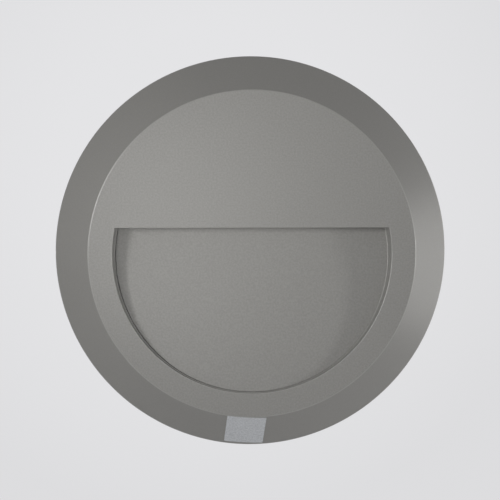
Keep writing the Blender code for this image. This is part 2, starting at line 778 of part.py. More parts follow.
def make_grub_screws(lamp):
    """Cup-point grub screws with their origin at the tip, on the joint's axis."""
    socket = GRUB_ACROSS_FLATS / math.sqrt(3)
    shape = turned(
        [
            (0.0, 0.0),
            (GRUB_TIP_RADIUS, 0.0),
            (GRUB_RADIUS, GRUB_RADIUS - GRUB_TIP_RADIUS),
            (GRUB_RADIUS, GRUB_LENGTH),
            (socket, GRUB_LENGTH),
            (socket, GRUB_LENGTH - GRUB_SOCKET_DEPTH),
            (0.0, GRUB_LENGTH - GRUB_SOCKET_DEPTH),
        ],
        SCREW_STEPS,
    )
    hex_socket(shape, socket, GRUB_ACROSS_FLATS)
    turn = (0.0, math.pi / 2, 0.0)
    place = (GRUB_TIP_X, 0.0, GRUB_HEIGHT)
    right = solid("grub_screw_right", shape, black_steel("grub_steel"), lamp, place, turn)
    turn = (0.0, -math.pi / 2, 0.0)
    placed("grub_screw_left", right.data, None, lamp, (-GRUB_TIP_X, 0.0, GRUB_HEIGHT), turn)


# Wall side


def make_wall_bracket(wall):
    """A strip with both ends bent forward, and a slot each side for the wall screws."""
    low, inner = BRACKET_THICKNESS, TAB_X - BRACKET_THICKNESS
    outline = [
        (-TAB_X, 0.0),
        (TAB_X, 0.0),
        (TAB_X, TAB_HEIGHT),
        (inner, TAB_HEIGHT),
        (inner, low),
        (-inner, low),
        (-inner, TAB_HEIGHT),
        (-TAB_X, TAB_HEIGHT),
    ]
    shape = bmesh.new()
    edge = [shape.verts.new((x, -BRACKET_WIDTH / 2, z)) for x, z in outline]
    made = bmesh.ops.extrude_face_region(shape, geom=[shape.faces.new(edge)])["geom"]
    moved = [item for item in made if isinstance(item, bmesh.types.BMVert)]
    bmesh.ops.translate(shape, verts=moved, vec=(0.0, BRACKET_WIDTH, 0.0))
    bracket = solid("wall_bracket", shape, galvanised_steel("bracket_steel"), wall)
    slots = bmesh.new()
    for side in (-1, 1):
        ends = (-OVERRUN, BRACKET_THICKNESS + OVERRUN)
        size = (FIXING_SLOT_LENGTH, FIXING_SLOT_WIDTH)
        skin(slots, [slot_ring(side * FIXING_SPACING / 2, 0.0, *size, end) for end in ends])
    change(bracket, "DIFFERENCE", "fixing_slots", slots)


def flat_ring(name, inner, outer, low, high, material, lamp):
    profile = [(inner, low), (outer, low), (outer, high), (inner, high)]
    solid(name, turned(profile, RING_STEPS, closed=True), material, lamp)


def make_wall_gasket(lamp):
    inner = CASING_RADIUS - SIDE_WALL + GASKET_INSET
    outer = CASING_RADIUS - GASKET_INSET
    flat_ring("wall_gasket", inner, outer, 0.0, GASKET_THICKNESS, grey_foam("gasket_foam"), lamp)


# Back cover


def make_cover_seal(lamp):
    low = COVER_FRONT + FIT
    outer = SEAL_LAND_RADIUS + SEAL_LAND_WIDTH - FIT
    high = low + COVER_SEAL_THICKNESS
    flat_ring("cover_seal", SEAL_LAND_RADIUS, outer, low, high, silicone("cover_seal_silicone"), lamp)


def make_back_cover(lamp):
    shape = bmesh.new()
    rod(shape, COVER_RADIUS, (0.0, 0.0, COVER_STANDOFF), (0.0, 0.0, COVER_FRONT), RING_STEPS)
    cover = solid("back_cover", shape, galvanised_steel("back_cover_steel"), lamp)
    holes = bmesh.new()
    low, high = COVER_STANDOFF - OVERRUN, COVER_FRONT + OVERRUN
    for x, y in cover_screw_places():
        rod(holes, BORE_RADIUS, (x, y, low), (x, y, high))
    neck = GROMMET_NECK_RADIUS + FIT
    rod(holes, neck, (GROMMET_X, GROMMET_Y, low), (GROMMET_X, GROMMET_Y, high), GROMMET_STEPS)
    change(cover, "DIFFERENCE", "back_cover_holes", holes)


def make_cable_grommet(lamp):
    """A rubber ring with a groove for the cover's edge and a bore for the supply cable."""
    low = -FIT - GROMMET_FLANGE_THICKNESS
    high = COVER_THICKNESS + FIT + GROMMET_FLANGE_THICKNESS
    profile = [
        (GROMMET_BORE_RADIUS, low),
        (GROMMET_FLANGE_RADIUS, low),
        (GROMMET_FLANGE_RADIUS, -FIT),
        (GROMMET_NECK_RADIUS, -FIT),
        (GROMMET_NECK_RADIUS, COVER_THICKNESS + FIT),
        (GROMMET_FLANGE_RADIUS, COVER_THICKNESS + FIT),
        (GROMMET_NECK_RADIUS, high),
        (GROMMET_BORE_RADIUS, high),
    ]
    shape = turned(profile, GROMMET_STEPS, closed=True)
    place = (GROMMET_X, GROMMET_Y, COVER_STANDOFF)
    solid("cable_grommet", shape, black_rubber("grommet_rubber"), lamp, place)


# Light window and LEDs


def make_light_window(lamp):
    """A frosted strip: a flange over the hood, and a lower step that fills the hood's slot."""
    reach = WINDOW_LENGTH / 2
    step = WINDOW_RIM + FIT
    shape = bmesh.new()
    low = (-reach, WINDOW_Y, WINDOW_BACK)
    brick(shape, low, (reach, WINDOW_Y + WINDOW_FLANGE, WINDOW_FRONT))
    window = solid("light_window", shape, frosted_plastic("window_frosted"), lamp)
    lower = bmesh.new()
    low = (step - reach, HOOD_EDGE + WINDOW_SET_BACK, WINDOW_BACK + step)
    brick(lower, low, (reach - step, WINDOW_Y + WINDOW_FLANGE / 2, WINDOW_FRONT - step))
    change(window, "UNION", "window_step", lower)


def make_window_seal(lamp):
    reach = WINDOW_LENGTH / 2
    rings = []
    for rim, y in ((0, WINDOW_SEAL_Y), (0, WINDOW_Y - FIT), (1, WINDOW_Y - FIT), (1, WINDOW_SEAL_Y)):
        side, low = reach - rim * WINDOW_RIM, WINDOW_BACK + rim * WINDOW_RIM
        high = WINDOW_FRONT - rim * WINDOW_RIM
        rings.append([(-side, y, low), (side, y, low), (side, y, high), (-side, y, high)])
    shape = bmesh.new()
    skin(shape, rings, capped=False)
    solid("window_seal", shape, silicone("window_seal_silicone"), lamp)


def make_led_carrier(lamp):
    """A channel that clamps the window and holds the board, with an ear at each end for a screw."""
    reach = WINDOW_LENGTH / 2
    back, front = WINDOW_BACK + CARRIER_SHEET, WINDOW_FRONT - CARRIER_SHEET
    section = [
        (CARRIER_Y, WINDOW_BACK),
        (CARRIER_TOP, WINDOW_BACK),
        (CARRIER_TOP, WINDOW_FRONT),
        (CARRIER_Y, WINDOW_FRONT),
        (CARRIER_Y, front),
        (CARRIER_WEB_Y, front),
        (CARRIER_WEB_Y, back),
        (CARRIER_Y, back),
    ]
    shape = bmesh.new()
    skin(shape, [[(x, y, z) for y, z in section] for x in (-reach, reach)])
    carrier = solid("led_carrier", shape, bare_aluminium("carrier_aluminium"), lamp)
    ears = bmesh.new()
    for side in (-1, 1):
        inner, outer = side * (reach - CARRIER_EAR_LAP), side * (reach + CARRIER_EAR_LENGTH)
        bottom = CARRIER_Y + CARRIER_SHEET
        low = (min(inner, outer), bottom, CARRIER_EAR_BACK)
        high = (max(inner, outer), bottom + CARRIER_EAR_HEIGHT, CARRIER_EAR_BACK + CARRIER_EAR_THICKNESS)
        brick(ears, low, high)
    change(carrier, "UNION", "carrier_ears", ears)
    holes = bmesh.new()
    for x in (-CARRIER_SCREW_X, CARRIER_SCREW_X):
        start = (x, CARRIER_SCREW_Y, CARRIER_EAR_BACK - OVERRUN)
        end = (x, CARRIER_SCREW_Y, CARRIER_EAR_BACK + CARRIER_EAR_THICKNESS + OVERRUN)
        rod(holes, BORE_RADIUS, start, end)
    change(carrier, "DIFFERENCE", "carrier_holes", holes)


def make_led_board(lamp):
    shape = bmesh.new()
    low = (-BOARD_LENGTH / 2, BOARD_Y, WINDOW_MIDDLE - BOARD_DEPTH / 2)
    brick(shape, low, (BOARD_LENGTH / 2, BOARD_Y + BOARD_THICKNESS, WINDOW_MIDDLE + BOARD_DEPTH / 2))
    solid("led_board", shape, white_board("led_board_white"), lamp)


def make_leds(lamp):
    """Surface-mount LEDs under the board: a white cup with a shallow phosphor well facing down."""
    shape = bmesh.new()
    low = (-LED_LENGTH / 2, -LED_HEIGHT, -LED_WIDTH / 2)
    brick(shape, low, (LED_LENGTH / 2, 0.0, LED_WIDTH / 2))
    shape.faces.ensure_lookup_table()
    lit = min(shape.faces, key=lambda face: face.calc_center_median().y)
    bmesh.ops.inset_region(shape, faces=[lit], thickness=LED_RIM)
    bmesh.ops.translate(shape, verts=lit.verts, vec=(0.0, LED_WELL, 0.0))
    first = -LED_PITCH * (LED_COUNT - 1) / 2
    place = (first, BOARD_Y - FIT, WINDOW_MIDDLE)
    led = solid("led_01", shape, phosphor("led_phosphor"), lamp, place)
    for number in range(2, LED_COUNT + 1):
        place = (first + LED_PITCH * (number - 1), BOARD_Y - FIT, WINDOW_MIDDLE)
        placed(f"led_{number:02d}", led.data, None, lamp, place, (0.0, 0.0, 0.0))


# Driver


def driver_lead_rows():
    """Y of the two leads at either end of the driver: both keep clear of that end's lug."""
    left = [DRIVER_Y - DRIVER_LEAD_SPACING * share for share in DRIVER_LEAD_SHARES]
    right = [DRIVER_Y + DRIVER_LEAD_SPACING * share for share in DRIVER_LEAD_SHARES]
    return left, right


def make_driver_case(lamp):
    """A tub, open at the back, with a lug at either end and holes for the leads."""
    reach, half = DRIVER_LENGTH / 2, DRIVER_WIDTH / 2
    shape = bmesh.new()
    low = (-reach, DRIVER_Y - half, DRIVER_TUB_BACK)
    brick(shape, low, (reach, DRIVER_Y + half, DRIVER_FRONT))
    case = solid("driver_case", shape, white_plastic("driver_case_plastic"), lamp)
    lugs = bmesh.new()
    for x, y in driver_lug_places():
        side = math.copysign(1, x)
        inner, outer = side * (reach - DRIVER_WALL / 2), side * (reach + DRIVER_LUG_LENGTH)
        low = (min(inner, outer), y - DRIVER_LUG_WIDTH / 2, DRIVER_LUG_HEIGHT)
        high = (max(inner, outer), y + DRIVER_LUG_WIDTH / 2, DRIVER_LUG_HEIGHT + DRIVER_LUG_THICKNESS)
        brick(lugs, low, high)
    change(case, "UNION", "driver_lugs", lugs)
    hollow = bmesh.new()
    low = (DRIVER_WALL - reach, DRIVER_Y - half + DRIVER_WALL, DRIVER_TUB_BACK - OVERRUN)
    high = (reach - DRIVER_WALL, DRIVER_Y + half - DRIVER_WALL, DRIVER_FRONT - DRIVER_WALL)
    brick(hollow, low, high)
    change(case, "DIFFERENCE", "driver_hollow", hollow)
    holes = bmesh.new()
    for side, rows in zip((-1, 1), driver_lead_rows()):
        for y in rows:
            start = (side * (reach - DRIVER_WALL - OVERRUN), y, DRIVER_LEAD_HEIGHT)
            end = (side * (reach + OVERRUN), y, DRIVER_LEAD_HEIGHT)
            rod(holes, LEAD_RADIUS + FIT, start, end, SCREW_STEPS)
    for x, y in driver_lug_places():
        start = (x, y, DRIVER_LUG_HEIGHT - OVERRUN)
        rod(holes, BORE_RADIUS, start, (x, y, DRIVER_LUG_HEIGHT + DRIVER_LUG_THICKNESS + OVERRUN))
    change(case, "DIFFERENCE", "driver_case_holes", holes)


def make_driver_board(lamp):
    """The circuit board with its transformer, choke and capacitors, all facing back."""
    reach = DRIVER_LENGTH / 2 - DRIVER_WALL - FIT
    half = DRIVER_WIDTH / 2 - DRIVER_WALL - FIT
    shape = bmesh.new()
    low = (-reach, DRIVER_Y - half, DRIVER_BOARD_BACK)
    brick(shape, low, (reach, DRIVER_Y + half, DRIVER_BOARD_FRONT))
    board = solid("driver_board", shape, green_board("driver_board_green"), lamp)
    parts = bmesh.new()
    base = DRIVER_BOARD_BACK + DRIVER_BOARD_THICKNESS / 2
    length, width = TRANSFORMER_SIZE
    x, y = TRANSFORMER_SHARE[0] * reach, DRIVER_Y + TRANSFORMER_SHARE[1] * half
    low = (x - length / 2, y - width / 2, DRIVER_BOARD_BACK - TRANSFORMER_HEIGHT)
    brick(parts, low, (x + length / 2, y + width / 2, base))
    for share in [CHOKE_SHARE] + CAPACITOR_SHARES:
        x, y = share[0] * reach, DRIVER_Y + share[1] * half
        rod(parts, CAN_RADIUS, (x, y, DRIVER_BOARD_BACK - CAN_HEIGHT), (x, y, base))
    change(board, "UNION", "driver_board_parts", parts)


def make_driver_lid(lamp):
    reach, half = DRIVER_LENGTH / 2, DRIVER_WIDTH / 2
    shape = bmesh.new()
    low = (-reach, DRIVER_Y - half, DRIVER_BACK)
    brick(shape, low, (reach, DRIVER_Y + half, DRIVER_BACK + DRIVER_WALL))
    solid("driver_lid", shape, white_plastic("driver_lid_plastic"), lamp)


# Terminal block and earth


def make_terminal_block(lamp):
    half, reach = TERMINAL_DEPTH / 2, TERMINAL_PITCH * TERMINAL_POLE_COUNT / 2
    shape = bmesh.new()
    low = (TERMINAL_X - half, TERMINAL_Y - reach, TERMINAL_BACK)
    brick(shape, low, (TERMINAL_X + half, TERMINAL_Y + reach, TERMINAL_FRONT))
    block = solid("terminal_block", shape, white_plastic("terminal_plastic"), lamp)
    holes = bmesh.new()
    for y in TERMINAL_POLES:
        start = (TERMINAL_X - half - OVERRUN, y, TERMINAL_BORE_HEIGHT)
        rod(holes, TERMINAL_BORE_RADIUS, start, (TERMINAL_X + half + OVERRUN, y, TERMINAL_BORE_HEIGHT))
    for y in TERMINAL_FIXINGS:
        start = (TERMINAL_X, y, TERMINAL_BACK - OVERRUN)
        rod(holes, BORE_RADIUS, start, (TERMINAL_X, y, TERMINAL_FRONT + OVERRUN))
    change(block, "DIFFERENCE", "terminal_holes", holes)


def make_terminal_clamps(lamp):
    """Brass sleeves in the block's bores, one for each pole."""
    outer = TERMINAL_BORE_RADIUS - FIT
    reach = CLAMP_LENGTH / 2
    profile = [(CLAMP_BORE_RADIUS, -reach), (outer, -reach), (outer, reach), (CLAMP_BORE_RADIUS, reach)]
    mesh = None
    for number, y in enumerate(TERMINAL_POLES, 1):
        name, place = f"terminal_clamp_{number}", (TERMINAL_X, y, TERMINAL_BORE_HEIGHT)
        turn = (0.0, math.pi / 2, 0.0)
        if mesh:
            placed(name, mesh, None, lamp, place, turn)
            continue
        shape = turned(profile, BORE_STEPS, closed=True)
        mesh = solid(name, shape, brass("clamp_brass"), lamp, place, turn).data


def make_earth_tag(lamp):
    inner, thickness = BORE_RADIUS, EARTH_TAG_THICKNESS
    profile = [(inner, 0.0), (EARTH_TAG_RADIUS, 0.0), (EARTH_TAG_RADIUS, thickness), (inner, thickness)]
    shape = turned(profile, BORE_STEPS, closed=True)
    place = (EARTH_X, EARTH_Y, EARTH_TAG_BACK)
    solid("earth_tag", shape, brass("earth_tag_brass"), lamp, place)


# Leads


def smooth_route(points):
    """Points along a smooth curve through the route's own points."""
    points = [Vector(point) for point in points]
    padded = [2 * points[0] - points[1]] + points + [2 * points[-1] - points[-2]]
    route = []
    for before, start, end, after in zip(padded, padded[1:], padded[2:], padded[3:]):
        for step in range(ROUTE_STEPS):
            t = step / ROUTE_STEPS
            bend = 2 * before - 5 * start + 4 * end - after
            swing = 3 * start - before - 3 * end + after
            route.append((2 * start + (end - before) * t + bend * t**2 + swing * t**3) / 2)
    return route + [points[-1]]


def lead(name, points, material, lamp):
    curve = bpy.data.curves.new(name, "CURVE")
    curve.dimensions = "3D"
    curve.bevel_depth = LEAD_RADIUS
    curve.bevel_resolution = LEAD_SIDES
    curve.use_fill_caps = True
    curve.materials.append(material)
    route = smooth_route(points)
    spline = curve.splines.new("POLY")
    spline.points.add(len(route) - 1)
    for point, place in zip(spline.points, route):
        point.co = (*place, 1.0)
    piece = bpy.data.objects.new(name, curve)
    bpy.context.scene.collection.objects.link(piece)
    piece.parent = lamp


def make_supply_leads(lamp):
    """Live and neutral: straight out of a brass clamp, then over to the driver's left end."""
    clamp_end = TERMINAL_X + CLAMP_LENGTH / 2 - LEAD_GRIP
    block_end = TERMINAL_X + TERMINAL_DEPTH / 2
    case_end = -DRIVER_LENGTH / 2
    gap = case_end - block_end
    colours = (("lead_live", (0.16, 0.05, 0.02)), ("lead_neutral", (0.03, 0.10, 0.45)))
    for (name, colour), pole, row in zip(colours, TERMINAL_POLES, driver_lead_rows()[0]):
        middle = (pole + row) / 2
        route = [
            (clamp_end, pole, TERMINAL_BORE_HEIGHT),
            (block_end, pole, TERMINAL_BORE_HEIGHT),
            (block_end + LEAD_STRAIGHT, pole, TERMINAL_BORE_HEIGHT),
            (block_end + gap / 2, middle, (TERMINAL_BORE_HEIGHT + DRIVER_LEAD_HEIGHT) / 2),
            (case_end - LEAD_STRAIGHT, row, DRIVER_LEAD_HEIGHT),
            (case_end, row, DRIVER_LEAD_HEIGHT),
            (case_end + LEAD_GRIP, row, DRIVER_LEAD_HEIGHT),
        ]
        lead(name, route, lead_jacket(f"{name}_jacket", colour), lamp)


def make_earth_lead(lamp):
    """Straight from its brass clamp to the earth tag's edge."""
    clamp_end = TERMINAL_X + CLAMP_LENGTH / 2 - LEAD_GRIP
    tag_edge = EARTH_X - EARTH_TAG_RADIUS - FIT
    ends = (clamp_end, TERMINAL_X + TERMINAL_DEPTH / 2, tag_edge)
    route = [(x, EARTH_Y, TERMINAL_BORE_HEIGHT) for x in ends]
    lead("lead_earth", route, lead_jacket("lead_earth_jacket", (0.30, 0.45, 0.03)), lamp)


def make_led_leads(lamp):
    """Plus and minus: from the driver's right end, past the carrier's post, to the end of the board."""
    case_end = DRIVER_LENGTH / 2
    window_end = WINDOW_LENGTH / 2
    pad_y = BOARD_Y - FIT - LEAD_RADIUS
    post_edge = CARRIER_SCREW_X - BOSS_RADIUS
    colours = (("lead_led_plus", (0.45, 0.02, 0.02)), ("lead_led_minus", (0.02, 0.02, 0.02)))
    for (name, colour), row, side in zip(colours, driver_lead_rows()[1], (1, -1)):
        depth = WINDOW_MIDDLE + side * LED_LEAD_SPACING / 2
        halfway = (DRIVER_LEAD_HEIGHT + depth) / 2
        route = [
            (case_end - LEAD_GRIP, row, DRIVER_LEAD_HEIGHT),
            (case_end, row, DRIVER_LEAD_HEIGHT),
            (case_end + LEAD_STRAIGHT, row, DRIVER_LEAD_HEIGHT),
            ((case_end + post_edge) / 2, (row + CARRIER_SCREW_Y + BOSS_RADIUS) / 2, halfway),
            (post_edge - LEAD_GRIP, CARRIER_SCREW_Y, depth),
            (window_end + LEAD_GRIP / 2, CARRIER_TOP, depth),
            (window_end + LEAD_GRIP / 2, pad_y, depth),
            (window_end - LEAD_GRIP / 2, pad_y - LEAD_RADIUS, depth),
            (BOARD_LENGTH / 2 - LEAD_GRIP / 2, pad_y, depth),
        ]
        lead(name, route, lead_jacket(f"{name}_jacket", colour), lamp)


# Rating label


def on_rim(across, up, proud):
    """A point over the sloping rim below the centre, from distances across and up the label."""
    turned_across = across * math.cos(LABEL_TURN) + up * math.sin(LABEL_TURN)
    slant = LABEL_MIDDLE + up * math.cos(LABEL_TURN) - across * math.sin(LABEL_TURN)
    run, rise = CASING_RADIUS - FACE_RADIUS, CASING_DEPTH - SIDE_HEIGHT
    length = math.hypot(run, rise)
    radius = CASING_RADIUS - slant * run / length
    angle = (LABEL_OFFSET + turned_across) / radius - math.pi / 2
    out = radius + proud * rise / length
    height = SIDE_HEIGHT + slant * rise / length + proud * run / length
    return (out * math.cos(angle), out * math.sin(angle), height)


def make_rating_label(lamp):
    """A plain foil square that follows the rim's curve."""
    half, low, high = LABEL_SIZE / 2, FIT, FIT + LABEL_THICKNESS
    rings = []
    for step in range(LABEL_STEPS + 1):
        across = LABEL_SIZE * step / LABEL_STEPS - half
        corners = ((-half, low), (half, low), (half, high), (-half, high))
        rings.append([on_rim(across, up, proud) for up, proud in corners])
    shape = bmesh.new()
    skin(shape, rings)
    solid("rating_label", shape, silver_foil("label_foil"), lamp)


def build():
    clear_scene()
    wall = frame("wall_frame")
    wall.rotation_euler = (math.pi / 2, 0.0, 0.0)
    lamp = frame("lamp_frame", wall)
    make_wall_bracket(wall)
    make_wall_gasket(lamp)
    make_casing(lamp)
    make_ramp_panel(lamp)
    make_ramp_seal(lamp)
    make_screws(lamp)
    make_grub_screws(lamp)
    make_cover_seal(lamp)
    make_back_cover(lamp)
    make_cable_grommet(lamp)
    make_light_window(lamp)
    make_window_seal(lamp)
    make_led_carrier(lamp)
    make_led_board(lamp)
    make_leds(lamp)
    make_driver_case(lamp)
    make_driver_board(lamp)
    make_driver_lid(lamp)
    make_terminal_block(lamp)
    make_terminal_clamps(lamp)
    make_earth_tag(lamp)
    make_supply_leads(lamp)
    make_earth_lead(lamp)
    make_led_leads(lamp)
    make_rating_label(lamp)


build()
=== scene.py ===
import math

import bpy
from mathutils import Matrix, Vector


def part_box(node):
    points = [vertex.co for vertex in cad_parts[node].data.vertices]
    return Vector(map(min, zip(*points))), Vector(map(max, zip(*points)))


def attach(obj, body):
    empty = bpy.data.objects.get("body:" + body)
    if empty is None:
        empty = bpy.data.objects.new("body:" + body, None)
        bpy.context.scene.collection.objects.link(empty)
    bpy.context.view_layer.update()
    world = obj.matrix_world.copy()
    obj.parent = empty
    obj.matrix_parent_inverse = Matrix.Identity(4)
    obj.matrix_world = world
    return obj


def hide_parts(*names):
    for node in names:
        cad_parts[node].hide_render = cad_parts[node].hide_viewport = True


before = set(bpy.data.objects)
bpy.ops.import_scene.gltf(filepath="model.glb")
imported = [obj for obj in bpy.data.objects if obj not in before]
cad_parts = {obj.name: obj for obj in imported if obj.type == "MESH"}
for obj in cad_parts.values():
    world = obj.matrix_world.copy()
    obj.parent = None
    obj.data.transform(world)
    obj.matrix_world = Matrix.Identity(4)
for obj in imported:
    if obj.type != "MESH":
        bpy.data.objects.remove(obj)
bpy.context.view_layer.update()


# The casing: one die-cast aluminium dish with a flat round face, a sloping rim and a half-round recess
# under a straight hood edge. It is powder coated, with a fine texture on the face and the recess and a
# smoother satin on the rim. The bosses inside it hold all the other pieces.

casing_low, casing_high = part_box("casing")
CASING_RADIUS = casing_high.x
CASING_DEPTH = -casing_low.y
CASING_BACK = -casing_high.y
CASING_STEPS = 240
CASING_WALL = 0.003
SIDE_HEIGHT = 0.008
FACE_RADIUS = 0.095
FACE_EDGE_ROUNDING = 0.0005
SIDE_EDGE_ROUNDING = 0.0009
BACK_EDGE_ROUNDING = 0.0003

RECESS_RADIUS = 0.081
RECESS_DRAFT = 0.001
RECESS_WALL = 0.0022
RECESS_LIP_ROUNDING = 0.00045
HOOD_EDGE = 0.0156
HOOD_DEPTH = 0.014
RAMP_BASE = CASING_DEPTH - HOOD_DEPTH
RAMP_CLIMB = 0.0125
RAMP_RISE = RAMP_CLIMB / (HOOD_EDGE + RECESS_RADIUS)
LEDGE_DROP = 0.0036
LEDGE_BACK_DROP = 0.0056
LEDGE_WIDTH = 0.008
FOOT_STEP = 0.0004
FOOT_STEP_ROUNDING = 0.00035

SEAL_LAND_HEIGHT = 0.0076
SEAL_LAND_RADIUS = 0.095
SEAL_LAND_EDGE = 0.098

FIT = 0.0003
CUT_OVERRUN = 0.002
MERGE_DISTANCE = 0.000001
SAME_PLACE = 0.000002
SAME_RADIUS = 0.00001
SMOOTH_ANGLE = math.radians(32)

COAT_DARK = (0.270, 0.265, 0.251, 1.0)
COAT_LIGHT = (0.304, 0.299, 0.283, 1.0)
RIM_DARK = (0.264, 0.258, 0.243, 1.0)
RIM_LIGHT = (0.281, 0.275, 0.259, 1.0)
# Paler shades for the rounded edges: a painted highlight along them
EDGE_HIGHLIGHT_DARK = (0.330, 0.324, 0.308, 1.0)
EDGE_HIGHLIGHT_LIGHT = (0.360, 0.354, 0.337, 1.0)


def rim_height(radius):
    """Height of the sloping rim's outer surface over the wall, at this radius."""
    rise = (CASING_RADIUS - radius) * (CASING_DEPTH - SIDE_HEIGHT)
    return SIDE_HEIGHT + rise / (CASING_RADIUS - FACE_RADIUS)


def ramp_height(up):
    """Height of the ramp panel's front surface over the wall, this far up from the middle."""
    return RAMP_BASE + (HOOD_EDGE - up) * RAMP_RISE


def middle_of(name):
    """How far across and how far up the middle of a CAD piece lies."""
    low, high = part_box(name)
    return (low.x + high.x) / 2, (low.z + high.z) / 2


def start_piece(name, add, **settings):
    """Adds a primitive with nothing else selected. It ends at the origin with its place in its mesh."""
    bpy.ops.object.select_all(action="DESELECT")
    add(**settings)
    piece = bpy.context.object
    piece.name = name
    bpy.ops.object.transform_apply()
    return piece


def pick(piece, kind, test):
    """Enters edit mode with only those edges or faces selected whose ends or middles pass a test."""
    mesh = piece.data
    for item in [*mesh.vertices, *mesh.edges, *mesh.polygons]:
        item.select = False
    if kind == "edges":
        for edge in mesh.edges:
            edge.select = all(test(mesh.vertices[end].co) for end in edge.vertices)
    else:
        for face in mesh.polygons:
            face.select = test(face.center)
    bpy.context.tool_settings.mesh_select_mode = (False, kind == "edges", kind == "polygons")
    bpy.ops.object.select_all(action="DESELECT")
    bpy.context.view_layer.objects.active = piece
    piece.select_set(True)
    bpy.ops.object.mode_set(mode="EDIT")


def turn_shell(name, rings, steps, across=0.0, up=0.0):
    """Pulls a circle through (radius, height over the wall) rings, and closes what is left open."""
    radius, height = rings[0]
    piece = start_piece(
        name,
        bpy.ops.mesh.primitive_circle_add,
        vertices=steps,
        radius=radius,
        location=(across, -height, up),
        rotation=(math.pi / 2, 0, 0),
    )
    bpy.ops.object.mode_set(mode="EDIT")
    bpy.ops.mesh.select_all(action="SELECT")
    for next_radius, next_height in rings[1:]:
        scale = next_radius / radius
        bpy.ops.mesh.extrude_region_move()
        bpy.ops.transform.translate(value=(0, height - next_height, 0))
        bpy.ops.transform.resize(value=(scale, 1, scale), center_override=(across, -next_height, up))
        radius, height = next_radius, next_height
    bpy.ops.mesh.select_all(action="SELECT")
    bpy.ops.mesh.remove_doubles(threshold=MERGE_DISTANCE)
    bpy.ops.mesh.fill_holes(sides=0)
    bpy.ops.mesh.normals_make_consistent(inside=False)
    bpy.ops.object.mode_set(mode="OBJECT")
    return piece


def round_edges(piece, width, test, segments=3):
    """Bevels the edges that pass a test of place."""
    pick(piece, "edges", test)
    bpy.ops.mesh.bevel(offset=width, segments=segments, affect="EDGES")
    bpy.ops.object.mode_set(mode="OBJECT")


def combine(piece, other, operation):
    """Joins a solid to a piece (UNION), cuts it out (DIFFERENCE) or keeps what they share (INTERSECT)."""
    step = piece.modifiers.new("combine", "BOOLEAN")
    step.operation = operation
    step.object = other
    step.solver = "EXACT"
    bpy.context.view_layer.objects.active = piece
    bpy.ops.object.modifier_apply(modifier=step.name)
    bpy.data.objects.remove(other)


def join_pieces(name, pieces):
    """Makes one object of several that don't touch each other."""
    bpy.ops.object.select_all(action="DESELECT")
    for piece in pieces:
        piece.select_set(True)
    bpy.context.view_layer.objects.active = pieces[0]
    bpy.ops.object.join()
    pieces[0].name = name
    return pieces[0]


def post(radius, across, up, low, high, steps=32):
    """A round post or bore square to the wall, between two heights over it."""
    return start_piece(
        "post",
        bpy.ops.mesh.primitive_cylinder_add,
        vertices=steps,
        radius=radius,
        depth=high - low,
        location=(across, -(low + high) / 2, up),
        rotation=(math.pi / 2, 0, 0),
    )


def block(name, low, high):
    """A box between two corners given as across, height over the wall, and up."""
    return start_piece(
        name,
        bpy.ops.mesh.primitive_cube_add,
        size=1,
        location=[(low[0] + high[0]) / 2, -(low[1] + high[1]) / 2, (low[2] + high[2]) / 2],
        scale=[high[0] - low[0], high[1] - low[1], high[2] - low[2]],
    )


def recess_block(name, inset, back_drop, front_drop=None, front=CASING_DEPTH + CUT_OVERRUN):
    """A half-round block with the recess's draft: a cone cut along the hood's edge and along the ramp."""

    def radius_at(height):
        return RECESS_RADIUS - inset - RECESS_DRAFT * (CASING_DEPTH - height) / HOOD_DEPTH

    piece = start_piece(
        name,
        bpy.ops.mesh.primitive_cone_add,
        vertices=CASING_STEPS,
        radius1=radius_at(0.0),
        radius2=radius_at(front),
        depth=front,
        location=(0, -front / 2, 0),
        rotation=(math.pi / 2, 0, 0),
    )
    cuts = [((0, 0, HOOD_EDGE - inset), (0, 0, 1))]
    cuts.append(((0, back_drop - RAMP_BASE, HOOD_EDGE), (0, 1, -RAMP_RISE)))
    if front_drop is not None:
        cuts.append(((0, front_drop - RAMP_BASE, HOOD_EDGE), (0, -1, RAMP_RISE)))
    bpy.ops.object.mode_set(mode="EDIT")
    for place, outward in cuts:
        bpy.ops.mesh.select_all(action="SELECT")
        bpy.ops.mesh.bisect(plane_co=place, plane_no=outward, use_fill=True, clear_outer=True)
    bpy.ops.object.mode_set(mode="OBJECT")
    return piece


def even_shading(piece):
    """Shades a piece smooth where it is round, with flat faces kept flat."""
    bpy.ops.object.select_all(action="DESELECT")
    bpy.context.view_layer.objects.active = piece
    piece.select_set(True)
    bpy.ops.object.shade_smooth_by_angle(angle=SMOOTH_ANGLE)
    step = piece.modifiers.new("even", "WEIGHTED_NORMAL")
    step.keep_sharp = True
    bpy.ops.object.modifier_apply(modifier=step.name)


def new_finish(name, colour, roughness, metallic=0.0):
    """A plain material, for patterns to be added to."""
    finish = bpy.data.materials.new(name)
    finish.use_nodes = True
    finish.diffuse_color = colour
    shader = finish.node_tree.nodes["Principled BSDF"]
    shader.inputs["Base Color"].default_value = colour
    shader.inputs["Roughness"].default_value = roughness
    shader.inputs["Metallic"].default_value = metallic
    return finish


def grain(finish, size, detail=2.0, stretch=(1, 1, 1)):
    """A soft random pattern on the piece, with grains of this size in metres."""
    nodes, links = finish.node_tree.nodes, finish.node_tree.links
    place = nodes.new("ShaderNodeTexCoord")
    mapping = nodes.new("ShaderNodeMapping")
    noise = nodes.new("ShaderNodeTexNoise")
    mapping.inputs["Scale"].default_value = stretch
    noise.inputs["Scale"].default_value = 1 / size
    noise.inputs["Detail"].default_value = detail
    links.new(place.outputs["Object"], mapping.inputs["Vector"])
    links.new(mapping.outputs["Vector"], noise.inputs["Vector"])
    return noise.outputs["Fac"]


